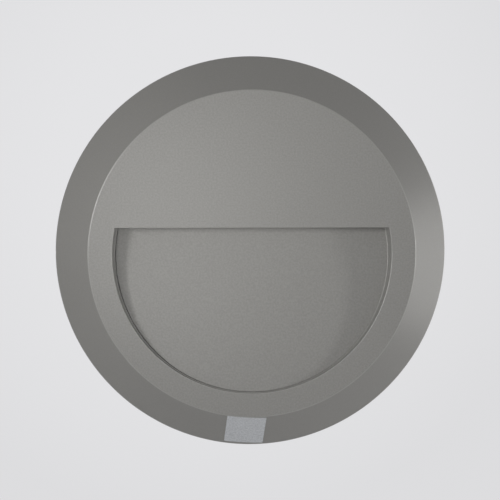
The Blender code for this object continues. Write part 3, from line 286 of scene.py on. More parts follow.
def colour_along(finish, pattern, dark, light, low=0.35, high=0.65):
    """Lets the colour run between two shades along a pattern."""
    nodes, links = finish.node_tree.nodes, finish.node_tree.links
    ramp = nodes.new("ShaderNodeValToRGB")
    ramp.color_ramp.elements[0].position = low
    ramp.color_ramp.elements[0].color = dark
    ramp.color_ramp.elements[1].position = high
    ramp.color_ramp.elements[1].color = light
    links.new(pattern, ramp.inputs["Fac"])
    links.new(ramp.outputs["Color"], nodes["Principled BSDF"].inputs["Base Color"])


def roughness_along(finish, pattern, smooth, rough, low=0.3, high=0.7):
    """Lets the roughness run between two values along a pattern."""
    nodes, links = finish.node_tree.nodes, finish.node_tree.links
    spread = nodes.new("ShaderNodeMapRange")
    spread.inputs["From Min"].default_value = low
    spread.inputs["From Max"].default_value = high
    spread.inputs["To Min"].default_value = smooth
    spread.inputs["To Max"].default_value = rough
    links.new(pattern, spread.inputs["Value"])
    links.new(spread.outputs["Result"], nodes["Principled BSDF"].inputs["Roughness"])


def relief(finish, pattern, height):
    """Raises the surface along a pattern, by this height in metres, over any relief it already has."""
    nodes, links = finish.node_tree.nodes, finish.node_tree.links
    surface = nodes["Principled BSDF"].inputs["Normal"]
    bump = nodes.new("ShaderNodeBump")
    bump.inputs["Distance"].default_value = height
    if surface.is_linked:
        links.new(surface.links[0].from_socket, bump.inputs["Normal"])
    links.new(pattern, bump.inputs["Height"])
    links.new(bump.outputs["Normal"], surface)


def textured_coat(name):
    """Powder coat with a fine, even orange-peel texture."""
    finish = new_finish(name, COAT_LIGHT, roughness=0.5, metallic=0.12)
    fine = grain(finish, size=0.001)
    colour_along(finish, fine, COAT_DARK, COAT_LIGHT)
    roughness_along(finish, grain(finish, size=0.0012), smooth=0.44, rough=0.56)
    relief(finish, fine, height=0.00005)
    relief(finish, grain(finish, size=0.0016, detail=1.0), height=0.00004)
    return finish


def satin_coat(name):
    """The same coat laid on thinner and smoother, as on the sloping rim."""
    finish = new_finish(name, RIM_LIGHT, roughness=0.4, metallic=0.15)
    fine = grain(finish, size=0.0006)
    colour_along(finish, fine, RIM_DARK, RIM_LIGHT)
    roughness_along(finish, grain(finish, size=0.003), smooth=0.36, rough=0.42)
    relief(finish, fine, height=0.000012)
    return finish


def edge_highlight_coat(name):
    """The same coat on rounded edges, paler and a little glossier: the paleness is a painted highlight
    along the edge.
    """
    finish = new_finish(name, EDGE_HIGHLIGHT_LIGHT, roughness=0.36, metallic=0.15)
    fine = grain(finish, size=0.0008)
    colour_along(finish, fine, EDGE_HIGHLIGHT_DARK, EDGE_HIGHLIGHT_LIGHT)
    roughness_along(finish, fine, smooth=0.32, rough=0.40)
    return finish


# The dish, turned as one closed shell
slant_wall = CASING_WALL * math.sqrt(2)
face_inside = FACE_RADIUS + (rim_height(FACE_RADIUS) - slant_wall - (CASING_DEPTH - CASING_WALL))
side_inside = CASING_RADIUS - CASING_WALL
casing = turn_shell(
    "casing_body",
    [
        (face_inside, CASING_DEPTH - CASING_WALL),
        (SEAL_LAND_RADIUS, rim_height(SEAL_LAND_RADIUS) - slant_wall),
        (SEAL_LAND_RADIUS, SEAL_LAND_HEIGHT),
        (SEAL_LAND_EDGE, SEAL_LAND_HEIGHT),
        (SEAL_LAND_EDGE, rim_height(SEAL_LAND_EDGE) - slant_wall),
        (side_inside, rim_height(side_inside) - slant_wall),
        (side_inside, CASING_BACK),
        (CASING_RADIUS, CASING_BACK),
        (CASING_RADIUS, SIDE_HEIGHT),
        (FACE_RADIUS, CASING_DEPTH),
    ],
    CASING_STEPS,
)


def on_ring(co):
    """On the edge that is now being rounded, at this radius and height."""
    return abs(math.hypot(co.x, co.z) - radius) < SAME_PLACE and abs(co.y + height) < SAME_PLACE


for radius, height, width in (
    (FACE_RADIUS, CASING_DEPTH, FACE_EDGE_ROUNDING),
    (CASING_RADIUS, SIDE_HEIGHT, SIDE_EDGE_ROUNDING),
    (CASING_RADIUS, CASING_BACK, BACK_EDGE_ROUNDING),
):
    round_edges(casing, width, on_ring, segments=4)

# The recess: a tub that is joined to the dish from behind, and then hollowed in three steps
tub = recess_block("recess_tub", -RECESS_WALL, LEDGE_BACK_DROP, front=CASING_DEPTH - CASING_WALL / 2)
combine(casing, tub, "UNION")
combine(casing, recess_block("recess_pocket", 0.0, -FOOT_STEP), "DIFFERENCE")
combine(casing, recess_block("recess_seat", FOOT_STEP, LEDGE_DROP), "DIFFERENCE")
combine(casing, recess_block("recess_throat", LEDGE_WIDTH, LEDGE_BACK_DROP + CUT_OVERRUN), "DIFFERENCE")

COVER_SCREWS = [f"cover_screw_{number}" for number in range(1, 7)]
RAMP_SCREWS = [f"ramp_screw_{number}" for number in range(1, 5)]
CARRIER_SCREWS = ["carrier_screw_left", "carrier_screw_right"]
DRIVER_SCREWS = ["driver_screw_left", "driver_screw_right"]
TERMINAL_SCREWS = ["terminal_screw_1", "terminal_screw_2"]
SCREW_HEAD_HEIGHT = 0.002
BORE_RADIUS = 0.0018
BOSS_RADIUS = 0.0042
BOSS_ROOT = 0.001
MID_WALL_CORNER = 0.0006

# Each group of screws, and how far its bosses start in front of the underside of the screws' heads
boss_groups = (
    (COVER_SCREWS, 0.0037),
    (CARRIER_SCREWS, 0.0024),
    (DRIVER_SCREWS, 0.0021),
    (TERMINAL_SCREWS, 0.0126),
    (["earth_screw"], 0.0014),
)
bosses, bores = [], []
for names, reach in boss_groups:
    for name in names:
        low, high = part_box(name)
        across, up = middle_of(name)
        end = SCREW_HEAD_HEIGHT - high.y + reach
        bosses.append(post(BOSS_RADIUS, across, up, end, CASING_DEPTH - BOSS_ROOT))
        bores.append(post(BORE_RADIUS, across, up, end - CUT_OVERRUN, FIT - low.y))
inside = turn_shell(
    "casing_inside",
    [
        (CASING_RADIUS - CASING_WALL / 2, CASING_BACK),
        (CASING_RADIUS - CASING_WALL / 2, SIDE_HEIGHT - MID_WALL_CORNER),
        (FACE_RADIUS - MID_WALL_CORNER, CASING_DEPTH - CASING_WALL / 2),
    ],
    steps=96,
)
bosses = join_pieces("casing_bosses", bosses)
combine(bosses, inside, "INTERSECT")
combine(casing, bosses, "UNION")

# Four cups behind the recess, which the ramp panel's bosses stand in
CUP_RADIUS = 0.0053
CUP_BORE_RADIUS = 0.0033
CUP_FLOOR = 0.002
CUP_DROP = 0.0046
CUP_BORE_DROP = 0.0026
RAMP_BOSS_DROP = 0.006
RAMP_BORE_DEPTH = 0.004
cups, cup_bores = [], []
for name in RAMP_SCREWS:
    across, up = middle_of(name)
    boss_end = ramp_height(up) - RAMP_BOSS_DROP
    cups.append(post(CUP_RADIUS, across, up, boss_end - FIT - CUP_FLOOR, ramp_height(up) - CUP_DROP))
    cup_bores.append(post(CUP_BORE_RADIUS, across, up, boss_end - FIT, ramp_height(up) - CUP_BORE_DROP))
    bores.append(post(BORE_RADIUS, across, up, boss_end - RAMP_BORE_DEPTH, boss_end))
combine(casing, join_pieces("ramp_cups", cups), "UNION")

# A thicker pad inside either side, for the grub screw that goes through it
PAD_MIDDLE = 0.111
PAD_HALF_THICKNESS = 0.0015
PAD_HALF_WIDTH = 0.006
PAD_BACK = 0.0023
PAD_FRONT = 0.0098
GRUB_BORE_MIDDLE = 0.112
GRUB_BORE_RADIUS = 0.0023
GRUB_BORE_LENGTH = 0.010
pads = []
for side in (-1, 1):
    pad_low = (side * PAD_MIDDLE - PAD_HALF_THICKNESS, PAD_BACK, -PAD_HALF_WIDTH)
    pad_high = (side * PAD_MIDDLE + PAD_HALF_THICKNESS, PAD_FRONT, PAD_HALF_WIDTH)
    pads.append(block("pad", pad_low, pad_high))
combine(casing, join_pieces("grub_pads", pads), "UNION")
combine(casing, join_pieces("ramp_cup_bores", cup_bores), "DIFFERENCE")
grub_low, grub_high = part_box("grub_screw_right")
for side in (-1, 1):
    bores.append(
        start_piece(
            "grub_bore",
            bpy.ops.mesh.primitive_cylinder_add,
            vertices=48,
            radius=GRUB_BORE_RADIUS,
            depth=GRUB_BORE_LENGTH,
            location=(side * GRUB_BORE_MIDDLE, (grub_low.y + grub_high.y) / 2, 0),
            rotation=(0, math.pi / 2, 0),
        )
    )

# The slot under the hood that the light window fills from behind
WINDOW_LAP = 0.0015
SLOT_TOP = 0.0045
window_low, window_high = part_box("light_window")
slot_half = window_high.x - WINDOW_LAP
slot_back = -window_high.y + WINDOW_LAP
slot_front = -window_low.y - WINDOW_LAP
slot_low_corner = (-slot_half, slot_back, HOOD_EDGE - CUT_OVERRUN)
slot_high_corner = (slot_half, slot_front, HOOD_EDGE + SLOT_TOP)
bores.append(block("window_slot", slot_low_corner, slot_high_corner))
combine(casing, join_pieces("casing_bores", bores), "DIFFERENCE")

# Rounded edges round the recess, and the coats; the rounded edges get a paler coat, a painted highlight
LIP_REACH = 0.0002
SATIN_START = FACE_RADIUS - 0.00005
FRONT_LEAN = -0.985
WALL_LEAN = -0.2


def on_lip(co):
    """On the edge between the flat face and the recess."""
    return abs(co.y + CASING_DEPTH) < SAME_PLACE and math.hypot(co.x, co.z) < RECESS_RADIUS + LIP_REACH


def on_foot_step(co):
    """On the edge of the small step at the foot of the recess's round wall."""
    step_radius = RECESS_RADIUS - FOOT_STEP - RECESS_DRAFT * (CASING_DEPTH + co.y) / HOOD_DEPTH
    on_step = abs(co.y + ramp_height(co.z) + FOOT_STEP) < 2 * SAME_PLACE
    within = math.hypot(co.x, co.z) < step_radius + SAME_RADIUS
    return on_step and within and co.z < HOOD_EDGE - FOOT_STEP / 2


def on_rounding(face):
    """Whether a face leans as the faces of a rounded edge do, between the front and the walls."""
    return FRONT_LEAN < face.normal.y < WALL_LEAN


round_edges(casing, RECESS_LIP_ROUNDING, on_lip)
round_edges(casing, FOOT_STEP_ROUNDING, on_foot_step)
even_shading(casing)
casing.data.materials.append(textured_coat("casing_textured_coat"))
casing.data.materials.append(satin_coat("casing_satin_coat"))
casing.data.materials.append(edge_highlight_coat("casing_edge_highlight_coat"))
# Rounded faces at the front edge and at the foot step get the paler coat, a painted highlight along those
# edges
for face in casing.data.polygons:
    radius = math.hypot(face.center.x, face.center.z)
    step_height = ramp_height(face.center.z) + FOOT_STEP
    at_front = face.center.y < FACE_EDGE_ROUNDING - CASING_DEPTH
    at_step = radius < RECESS_RADIUS and abs(face.center.y + step_height) < FOOT_STEP_ROUNDING
    if on_rounding(face) and (at_front or at_step):
        face.material_index = 2
    else:
        face.material_index = int(radius > SATIN_START)
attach(casing, "lamp")
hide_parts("casing")


# The ramp panel: a die-cast plate that slopes up from deep under the hood to nearly flush at the foot of
# the recess. It has the face's textured coat, and four bosses behind it take the ramp screws.

PANEL_GAP = 0.00062
PANEL_SHIFT = 0.0002
PANEL_THICKNESS = 0.002
PANEL_EDGE_ROUNDING = 0.0001
PANEL_BOSS_RADIUS = 0.003

ramp_panel = recess_block("ramp_plate", PANEL_GAP, PANEL_THICKNESS, front_drop=0.0)
ramp_panel.data.transform(Matrix.Translation((PANEL_SHIFT, 0, 0)))
round_edges(ramp_panel, PANEL_EDGE_ROUNDING, lambda co: abs(co.y + ramp_height(co.z)) < SAME_PLACE)
panel_bosses, panel_bores = [], []
for name in RAMP_SCREWS:
    low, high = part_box(name)
    across, up = middle_of(name)
    boss_end = ramp_height(up) - RAMP_BOSS_DROP
    panel_bosses.append(post(PANEL_BOSS_RADIUS, across, up, boss_end, ramp_height(up) - BOSS_ROOT))
    panel_bores.append(post(BORE_RADIUS, across, up, boss_end - CUT_OVERRUN, FIT - low.y))
combine(ramp_panel, join_pieces("panel_bosses", panel_bosses), "UNION")
combine(ramp_panel, join_pieces("panel_bores", panel_bores), "DIFFERENCE")
even_shading(ramp_panel)
ramp_panel.data.materials.append(textured_coat("ramp_textured_coat"))
ramp_panel.data.materials.append(edge_highlight_coat("ramp_edge_highlight_coat"))
# The rounded front edge gets the paler coat, a painted highlight along it
for face in ramp_panel.data.polygons:
    at_front = abs(face.center.y + ramp_height(face.center.z)) < PANEL_EDGE_ROUNDING
    face.material_index = int(at_front and on_rounding(face))
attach(ramp_panel, "lamp")
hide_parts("ramp_panel")


# The rating plate: a thin sticker of silver foil on the lower side of the sloping rim, turned a little.
# The foil is finely speckled, and its corners are only just rounded.

LABEL_WIDTH = 0.0229
LABEL_HEIGHT = 0.0254
LABEL_THICKNESS = 0.0002
LABEL_GLUE = 0.00005
LABEL_CORNER = 0.0004
LABEL_MIDDLE = 0.0153
LABEL_OFFSET = -0.0039
LABEL_LEAN = math.radians(135)
LABEL_TURN = math.radians(-3.6)
FOIL_DARK = (0.49, 0.505, 0.52, 1.0)
FOIL_LIGHT = (0.65, 0.665, 0.68, 1.0)

label_turn = Matrix.Rotation(LABEL_LEAN, 3, "X") @ Matrix.Rotation(LABEL_TURN, 3, "Z")
label_slant = LABEL_MIDDLE / math.sqrt(2)
bpy.ops.object.select_all(action="DESELECT")
bpy.ops.mesh.primitive_grid_add(
    x_subdivisions=24,
    y_subdivisions=8,
    size=LABEL_WIDTH,
    location=(LABEL_OFFSET, -(SIDE_HEIGHT + label_slant), -(CASING_RADIUS - label_slant)),
    rotation=label_turn.to_euler(),
)
label = bpy.context.object
label.name = "rating_plate"
label.scale.y = LABEL_HEIGHT / LABEL_WIDTH
bpy.ops.object.transform_apply(location=False, rotation=False)
for vertex in label.data.vertices:
    vertex.select = abs(vertex.co.x) > LABEL_WIDTH / 2 - FIT and abs(vertex.co.y) > LABEL_HEIGHT / 2 - FIT
for item in [*label.data.edges, *label.data.polygons]:
    item.select = False
bpy.context.tool_settings.mesh_select_mode = (True, False, False)
bpy.ops.object.mode_set(mode="EDIT")
bpy.ops.mesh.bevel(offset=LABEL_CORNER, segments=3, affect="VERTICES")
bpy.ops.object.mode_set(mode="OBJECT")
wrap = label.modifiers.new("wrap", "SHRINKWRAP")
wrap.target = casing
wrap.wrap_method = "PROJECT"
wrap.use_project_z = True
wrap.use_negative_direction = True
wrap.use_positive_direction = True
wrap.wrap_mode = "ABOVE_SURFACE"
wrap.offset = LABEL_GLUE
bpy.ops.object.modifier_apply(modifier=wrap.name)
bpy.ops.object.transform_apply()
foil_body = label.modifiers.new("foil", "SOLIDIFY")
foil_body.thickness = LABEL_THICKNESS
foil_body.offset = 1.0
bpy.ops.object.modifier_apply(modifier=foil_body.name)
even_shading(label)

foil = new_finish("label_speckled_foil", FOIL_LIGHT, roughness=0.45, metallic=0.3)
speckle = grain(foil, size=0.0009, detail=3.0)
colour_along(foil, speckle, FOIL_DARK, FOIL_LIGHT)
roughness_along(foil, speckle, smooth=0.38, rough=0.54)
relief(foil, speckle, height=0.00001)
label.data.materials.append(foil)
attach(label, "lamp")
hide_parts("rating_label")


# The wall gasket: a ring of dark closed-cell foam, stuck to the casing's back edge and pressed against
# the wall. It has open pits where its cells were cut.

gasket_low, gasket_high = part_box("wall_gasket")
GASKET_INSIDE = 0.1125
GASKET_OUTSIDE = gasket_high.x
GASKET_DEPTH = -gasket_low.y
GASKET_EDGE_ROUNDING = 0.0002
FOAM_DARK = (0.05, 0.05, 0.05, 1.0)
FOAM_LIGHT = (0.13, 0.13, 0.13, 1.0)

gasket = turn_shell(
    "foam_gasket",
    [
        (GASKET_INSIDE, 0.0),
        (GASKET_OUTSIDE, 0.0),
        (GASKET_OUTSIDE, GASKET_DEPTH),
        (GASKET_INSIDE, GASKET_DEPTH),
        (GASKET_INSIDE, 0.0),
    ],
    CASING_STEPS,
)
gasket_middle = (GASKET_INSIDE + GASKET_OUTSIDE) / 2
round_edges(
    gasket,
    GASKET_EDGE_ROUNDING,
    lambda co: math.hypot(co.x, co.z) > gasket_middle,
    segments=2,
)
even_shading(gasket)
foam = new_finish("gasket_foam_cells", (0.10, 0.10, 0.10, 1.0), roughness=0.95)
cells = grain(foam, size=0.0009, detail=4.0)
colour_along(foam, cells, FOAM_DARK, FOAM_LIGHT)
relief(foam, cells, height=0.0003)
gasket.data.materials.append(foam)
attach(gasket, "lamp")
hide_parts("wall_gasket")


# The back cover: a disc of galvanised sheet steel that closes the casing from behind. A ring is pressed
# into it to keep it stiff, and it has holes for six screws and the cable grommet.

cover_low, cover_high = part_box("back_cover")
cover_back, cover_front = -cover_high.y, -cover_low.y
COVER_EDGE_ROUNDING = 0.0003
GROMMET_HOLE_RADIUS = 0.0065
ZINC_CRYSTALS = 190
ZINC_DARK = (0.40, 0.42, 0.44, 1.0)
ZINC_LIGHT = (0.60, 0.62, 0.63, 1.0)

# The pressed ring's radii from the inside out, on the back and on the front of the sheet
PRESSED_BACK = (0.0600, 0.0615, 0.0665, 0.0680)
PRESSED_FRONT = (0.0598, 0.0613, 0.0667, 0.0682)
PRESSED_DEPTH = 0.0006

cover = turn_shell(
    "cover_sheet",
    [
        (PRESSED_BACK[0], cover_back),
        (PRESSED_BACK[1], cover_back - PRESSED_DEPTH),
        (PRESSED_BACK[2], cover_back - PRESSED_DEPTH),
        (PRESSED_BACK[3], cover_back),
        (cover_high.x, cover_back),
        (cover_high.x, cover_front),
        (PRESSED_FRONT[3], cover_front),
        (PRESSED_FRONT[2], cover_front - PRESSED_DEPTH),
        (PRESSED_FRONT[1], cover_front - PRESSED_DEPTH),
        (PRESSED_FRONT[0], cover_front),
    ],
    CASING_STEPS,
)
round_edges(
    cover,
    COVER_EDGE_ROUNDING,
    lambda co: math.hypot(co.x, co.z) > cover_high.x - SAME_RADIUS,
    segments=2,
)
hole_back, hole_front = cover_back - CUT_OVERRUN, cover_front + CUT_OVERRUN
grommet_across, grommet_up = middle_of("cable_grommet")
cover_holes = [post(GROMMET_HOLE_RADIUS, grommet_across, grommet_up, hole_back, hole_front, steps=64)]
for name in COVER_SCREWS:
    across, up = middle_of(name)
    cover_holes.append(post(BORE_RADIUS, across, up, hole_back, hole_front, steps=48))
combine(cover, join_pieces("cover_holes", cover_holes), "DIFFERENCE")
even_shading(cover)


def zinc_coat(name):
    """Galvanised sheet: pale zinc crystals, each with its own shade and gloss."""
    finish = new_finish(name, ZINC_LIGHT, roughness=0.4, metallic=0.9)
    nodes, links = finish.node_tree.nodes, finish.node_tree.links
    place = nodes.new("ShaderNodeTexCoord")
    crystals = nodes.new("ShaderNodeTexVoronoi")
    crystals.inputs["Scale"].default_value = ZINC_CRYSTALS
    links.new(place.outputs["Object"], crystals.inputs["Vector"])
    colour_along(finish, crystals.outputs["Color"], ZINC_DARK, ZINC_LIGHT, low=0.2, high=0.8)
    roughness_along(finish, crystals.outputs["Color"], smooth=0.32, rough=0.50)
    relief(finish, grain(finish, size=0.0008), height=0.00001)
    return finish


cover.data.materials.append(zinc_coat("cover_zinc"))
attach(cover, "lamp")
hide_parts("back_cover")


# The cable grommet: a black rubber ring with a groove for the cover's edge. The supply cable comes in
# through its bore, and its front flange is tapered so that it can be pushed through the hole.

grommet_back = -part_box("cable_grommet")[1].y
groove_back, groove_front = cover_back - FIT, cover_front + FIT
GROMMET_BORE = 0.0036
GROMMET_MOUTH = 0.0040
GROMMET_MOUTH_DEPTH = 0.0003
GROMMET_BACK_RADIUS = 0.0081
GROMMET_BACK_DEPTH = 0.0004
GROMMET_FLANGE = 0.0085
GROMMET_GROOVE = 0.0062
GROMMET_TAPER = 0.0084
GROMMET_TAPER_START = 0.0002
GROMMET_TIP = 0.0064
GROMMET_REACH = 0.0015
RUBBER_DARK = (0.020, 0.020, 0.020, 1.0)
RUBBER_LIGHT = (0.036, 0.036, 0.035, 1.0)

grommet = turn_shell(
    "rubber_grommet",
    [
        (GROMMET_BORE, grommet_back + GROMMET_MOUTH_DEPTH),
        (GROMMET_MOUTH, grommet_back),
        (GROMMET_BACK_RADIUS, grommet_back),
        (GROMMET_FLANGE, grommet_back + GROMMET_BACK_DEPTH),
        (GROMMET_FLANGE, groove_back),
        (GROMMET_GROOVE, groove_back),
        (GROMMET_GROOVE, groove_front),
        (GROMMET_FLANGE, groove_front),
        (GROMMET_TAPER, groove_front + GROMMET_TAPER_START),
        (GROMMET_TIP, cover_front + GROMMET_REACH),
        (GROMMET_BORE, cover_front + GROMMET_REACH),
        (GROMMET_BORE, grommet_back + GROMMET_MOUTH_DEPTH),
    ],
    steps=72,
    across=grommet_across,
    up=grommet_up,
)
even_shading(grommet)
rubber = new_finish("grommet_soft_rubber", (0.026, 0.026, 0.026, 1.0), roughness=0.7)
bloom = grain(rubber, size=0.0015, detail=3.0)
colour_along(rubber, bloom, RUBBER_DARK, RUBBER_LIGHT)
roughness_along(rubber, bloom, smooth=0.6, rough=0.8)
relief(rubber, bloom, height=0.00003)
grommet.data.materials.append(rubber)
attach(grommet, "lamp")
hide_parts("cable_grommet")


# The screws: M3 pan heads with a hex socket, in bright zinc-plated steel, all driven from behind. They
# hold the cover, the ramp panel, the LED carrier, the driver, the terminal block and the earth tag.

SCREW_STEPS = 48
SCREW_RADIUS = 0.0015
HEAD_RADIUS = 0.00275
HEAD_TOP_RADIUS = 0.00255
HEAD_SIDE = 0.0017
PLAIN_SHANK = 0.001
UNTHREADED = 0.0016
TIP_CHAMFER = 0.0003
THREAD_PITCH = 0.0005
THREAD_DEPTH = 0.0002
SOCKET_WIDTH = 0.002
SOCKET_MOUTH = 0.003
SOCKET_FLOOR = 0.0008
PLATE_DARK = (0.50, 0.50, 0.48, 1.0)
PLATE_LIGHT = (0.66, 0.66, 0.63, 1.0)


def plated_steel(name):
    """Bright plating with a faint cloudy film."""
    finish = new_finish(name, PLATE_LIGHT, roughness=0.3, metallic=1.0)
    film = grain(finish, size=0.0012, detail=3.0)
    colour_along(finish, film, PLATE_DARK, PLATE_LIGHT)
    roughness_along(finish, film, smooth=0.24, rough=0.38)
    return finish


def turn_screw(name, length, finish):
    """A threaded screw along Y with the underside of its head at the origin."""
    rings = [
        (HEAD_TOP_RADIUS, -SCREW_HEAD_HEIGHT),
        (HEAD_RADIUS, -HEAD_SIDE),
        (HEAD_RADIUS, 0.0),
        (SCREW_RADIUS, 0.0),
        (SCREW_RADIUS, PLAIN_SHANK),
    ]
    for number in range(int((length - UNTHREADED) / THREAD_PITCH)):
        height = PLAIN_SHANK + number * THREAD_PITCH
        rings.append((SCREW_RADIUS - THREAD_DEPTH, height + THREAD_PITCH / 2))
        rings.append((SCREW_RADIUS, height + THREAD_PITCH))
    rings.append((SCREW_RADIUS, length - TIP_CHAMFER))
    rings.append((SCREW_RADIUS - TIP_CHAMFER, length))
    screw = turn_shell(name, rings, SCREW_STEPS)
    socket = post(SOCKET_WIDTH / math.sqrt(3), 0, 0, -SOCKET_MOUTH, -SOCKET_FLOOR, steps=6)
    combine(screw, socket, "DIFFERENCE")
    even_shading(screw)
    screw.data.materials.append(finish)
    return screw


steel = plated_steel("screw_plating")
short_screws = COVER_SCREWS + RAMP_SCREWS + CARRIER_SCREWS + DRIVER_SCREWS + ["earth_screw"]
for names in (short_screws, TERMINAL_SCREWS):
    low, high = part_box(names[0])
    master = turn_screw("screw", high.y - low.y - SCREW_HEAD_HEIGHT, steel)
    for name in names:
        low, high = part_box(name)
        across, up = middle_of(name)
        screw = bpy.data.objects.new(f"{name}_threaded", master.data.copy())
        bpy.context.scene.collection.objects.link(screw)
        screw.data.transform(Matrix.Translation((across, high.y - SCREW_HEAD_HEIGHT, up)))
        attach(screw, "lamp")
        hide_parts(name)
    bpy.data.objects.remove(master)


# The grub screws: two short black steel screws with a cone point and a hex socket. Each goes through
# the casing's side and presses on a tab of the wall bracket.

GRUB_RADIUS = 0.002
GRUB_ROOT_RADIUS = 0.0018
GRUB_POINT_RADIUS = 0.0012
GRUB_POINT_LENGTH = 0.0008
GRUB_THREADS = 8
GRUB_SOCKET_DEPTH = 0.002
GRUB_SOCKET_END = 0.006
OXIDE_DARK = (0.020, 0.020, 0.021, 1.0)
OXIDE_LIGHT = (0.045, 0.044, 0.043, 1.0)

black_oxide = new_finish("grub_black_oxide", (0.03, 0.03, 0.03, 1.0), roughness=0.45, metallic=0.6)
oxide_film = grain(black_oxide, size=0.0009)
colour_along(black_oxide, oxide_film, OXIDE_DARK, OXIDE_LIGHT)
roughness_along(black_oxide, oxide_film, smooth=0.38, rough=0.52)
for side, body, name in ((-1, "grub_left", "grub_screw_left"), (1, "grub_right", "grub_screw_right")):
    low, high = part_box(name)
    length = high.x - low.x
    rings = [(GRUB_POINT_RADIUS, 0.0), (GRUB_RADIUS, GRUB_POINT_LENGTH)]
    for number in range(GRUB_THREADS):
        height = GRUB_POINT_LENGTH + number * THREAD_PITCH
        rings.append((GRUB_ROOT_RADIUS, height + THREAD_PITCH / 2))
        rings.append((GRUB_RADIUS, height + THREAD_PITCH))
    rings.append((GRUB_RADIUS, length))
    grub = turn_shell(f"{name}_threaded", rings, SCREW_STEPS)
    socket_floor = length - GRUB_SOCKET_DEPTH
    socket = post(SOCKET_WIDTH / math.sqrt(3), 0, 0, socket_floor, GRUB_SOCKET_END, steps=6)
    combine(grub, socket, "DIFFERENCE")
    even_shading(grub)
    tip = high.x if side < 0 else low.x
    turn = Matrix.Rotation(side * math.pi / 2, 4, "Z")
    grub.data.transform(Matrix.Translation((tip, (low.y + high.y) / 2, 0)) @ turn)
    grub.data.materials.append(black_oxide)
    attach(grub, body)
    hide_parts(name)


# The wall bracket: a strip of galvanised steel screwed to the wall through its two slots. Its ends are
# bent forward into tabs that the grub screws grip.

bracket_low, bracket_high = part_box("wall_bracket")
BRACKET_SHEET = 0.0015
BEND_ROUNDING = 0.0016
BEND_INSIDE_ROUNDING = 0.0003
FIXING_SLOT_PLACE = 0.031
FIXING_SLOT_HALF_LENGTH = 0.007
FIXING_SLOT_HALF_WIDTH = 0.0026
FIXING_SLOT_ROUNDING = 0.00259
tab_x, tab_height, bracket_half = bracket_high.x, -bracket_low.y, bracket_high.z


def on_tab_foot(co):
    """On the end of the strip's front side, where the tab stands."""
    return abs(co.y + BRACKET_SHEET) < SAME_PLACE and abs(co.x) > tab_x - BRACKET_SHEET


def on_bend(co):
    """On the outside corner of either bend."""
    return abs(co.x) > tab_x - SAME_PLACE and abs(co.y) < SAME_PLACE


def inside_bend(co):
    """On the inside corner of either bend."""
    return abs(abs(co.x) - tab_x + BRACKET_SHEET) < SAME_PLACE and abs(co.y + BRACKET_SHEET) < SAME_PLACE


def on_slot_end(co):
    """On either end of the fixing slot that is now being made."""
    return abs(abs(co.x - slot_middle) - FIXING_SLOT_HALF_LENGTH) < SAME_PLACE


bracket = block("bracket_strip", (-tab_x, 0.0, -bracket_half), (tab_x, BRACKET_SHEET, bracket_half))
bpy.ops.object.mode_set(mode="EDIT")
for side in (-1, 1):
    bpy.ops.mesh.select_all(action="SELECT")
    bpy.ops.mesh.bisect(plane_co=(side * (tab_x - BRACKET_SHEET), 0, 0), plane_no=(1, 0, 0))
bpy.ops.object.mode_set(mode="OBJECT")
pick(bracket, "polygons", on_tab_foot)
bpy.ops.mesh.extrude_region_move()
bpy.ops.transform.translate(value=(0, BRACKET_SHEET - tab_height, 0))
bpy.ops.object.mode_set(mode="OBJECT")
round_edges(bracket, BEND_ROUNDING, on_bend, segments=6)
round_edges(bracket, BEND_INSIDE_ROUNDING, inside_bend)
slots = []
for side in (-1, 1):
    slot_middle = side * FIXING_SLOT_PLACE
    slot = block(
        "fixing_slot",
        (slot_middle - FIXING_SLOT_HALF_LENGTH, -CUT_OVERRUN, -FIXING_SLOT_HALF_WIDTH),
        (slot_middle + FIXING_SLOT_HALF_LENGTH, BRACKET_SHEET + CUT_OVERRUN, FIXING_SLOT_HALF_WIDTH),
    )
    round_edges(slot, FIXING_SLOT_ROUNDING, on_slot_end, segments=10)
    slots.append(slot)
combine(bracket, join_pieces("fixing_slots", slots), "DIFFERENCE")
even_shading(bracket)
bracket.data.materials.append(zinc_coat("bracket_zinc"))
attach(bracket, "bracket")
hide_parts("wall_bracket")


# The light window: a moulded strip of frosted plastic behind the hood's slot. Its flange is clamped over
# the slot, and a lower step fills it.

WINDOW_FLANGE_FOOT = 0.0192
WINDOW_STEP_TOP = 0.0202
WINDOW_STEP_INSET = 0.0018
WINDOW_EDGE_ROUNDING = 0.0002
FROST_DARK = (0.86, 0.86, 0.83, 1.0)
FROST_LIGHT = (0.94, 0.94, 0.92, 1.0)


def on_window_end(co):
    """On the edges of the window's lowest or highest side."""
    return abs(co.z - window_low.z) < SAME_PLACE or co.z > window_high.z - SAME_PLACE


window = block(
    "window_flange",
    (window_low.x, -window_high.y, WINDOW_FLANGE_FOOT),
    (window_high.x, -window_low.y, window_high.z),
)
window_step = block(
    "window_step",
    (window_low.x + WINDOW_STEP_INSET, -window_high.y + WINDOW_STEP_INSET, window_low.z),
    (window_high.x - WINDOW_STEP_INSET, -window_low.y - WINDOW_STEP_INSET, WINDOW_STEP_TOP),
)
combine(window, window_step, "UNION")
round_edges(window, WINDOW_EDGE_ROUNDING, on_window_end, segments=2)
even_shading(window)
frosted = new_finish("window_frosted_plastic", (0.92, 0.92, 0.90, 1.0), roughness=0.5)
frosted.node_tree.nodes["Principled BSDF"].inputs["Transmission Weight"].default_value = 0.4
frosting = grain(frosted, size=0.0004, detail=3.0)
colour_along(frosted, frosting, FROST_DARK, FROST_LIGHT)
roughness_along(frosted, frosting, smooth=0.42, rough=0.6)
relief(frosted, frosting, height=0.00003)
window.data.materials.append(frosted)
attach(window, "lamp")
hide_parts("light_window")


# The seals: pale silicone rings and frames, cut from sheet. One lies under the back cover, one under the
# ramp panel and one round the window.

SILICONE = (0.72, 0.70, 0.66, 1.0)
SILICONE_DARK = (0.66, 0.64, 0.60, 1.0)
SILICONE_LIGHT = (0.75, 0.73, 0.69, 1.0)

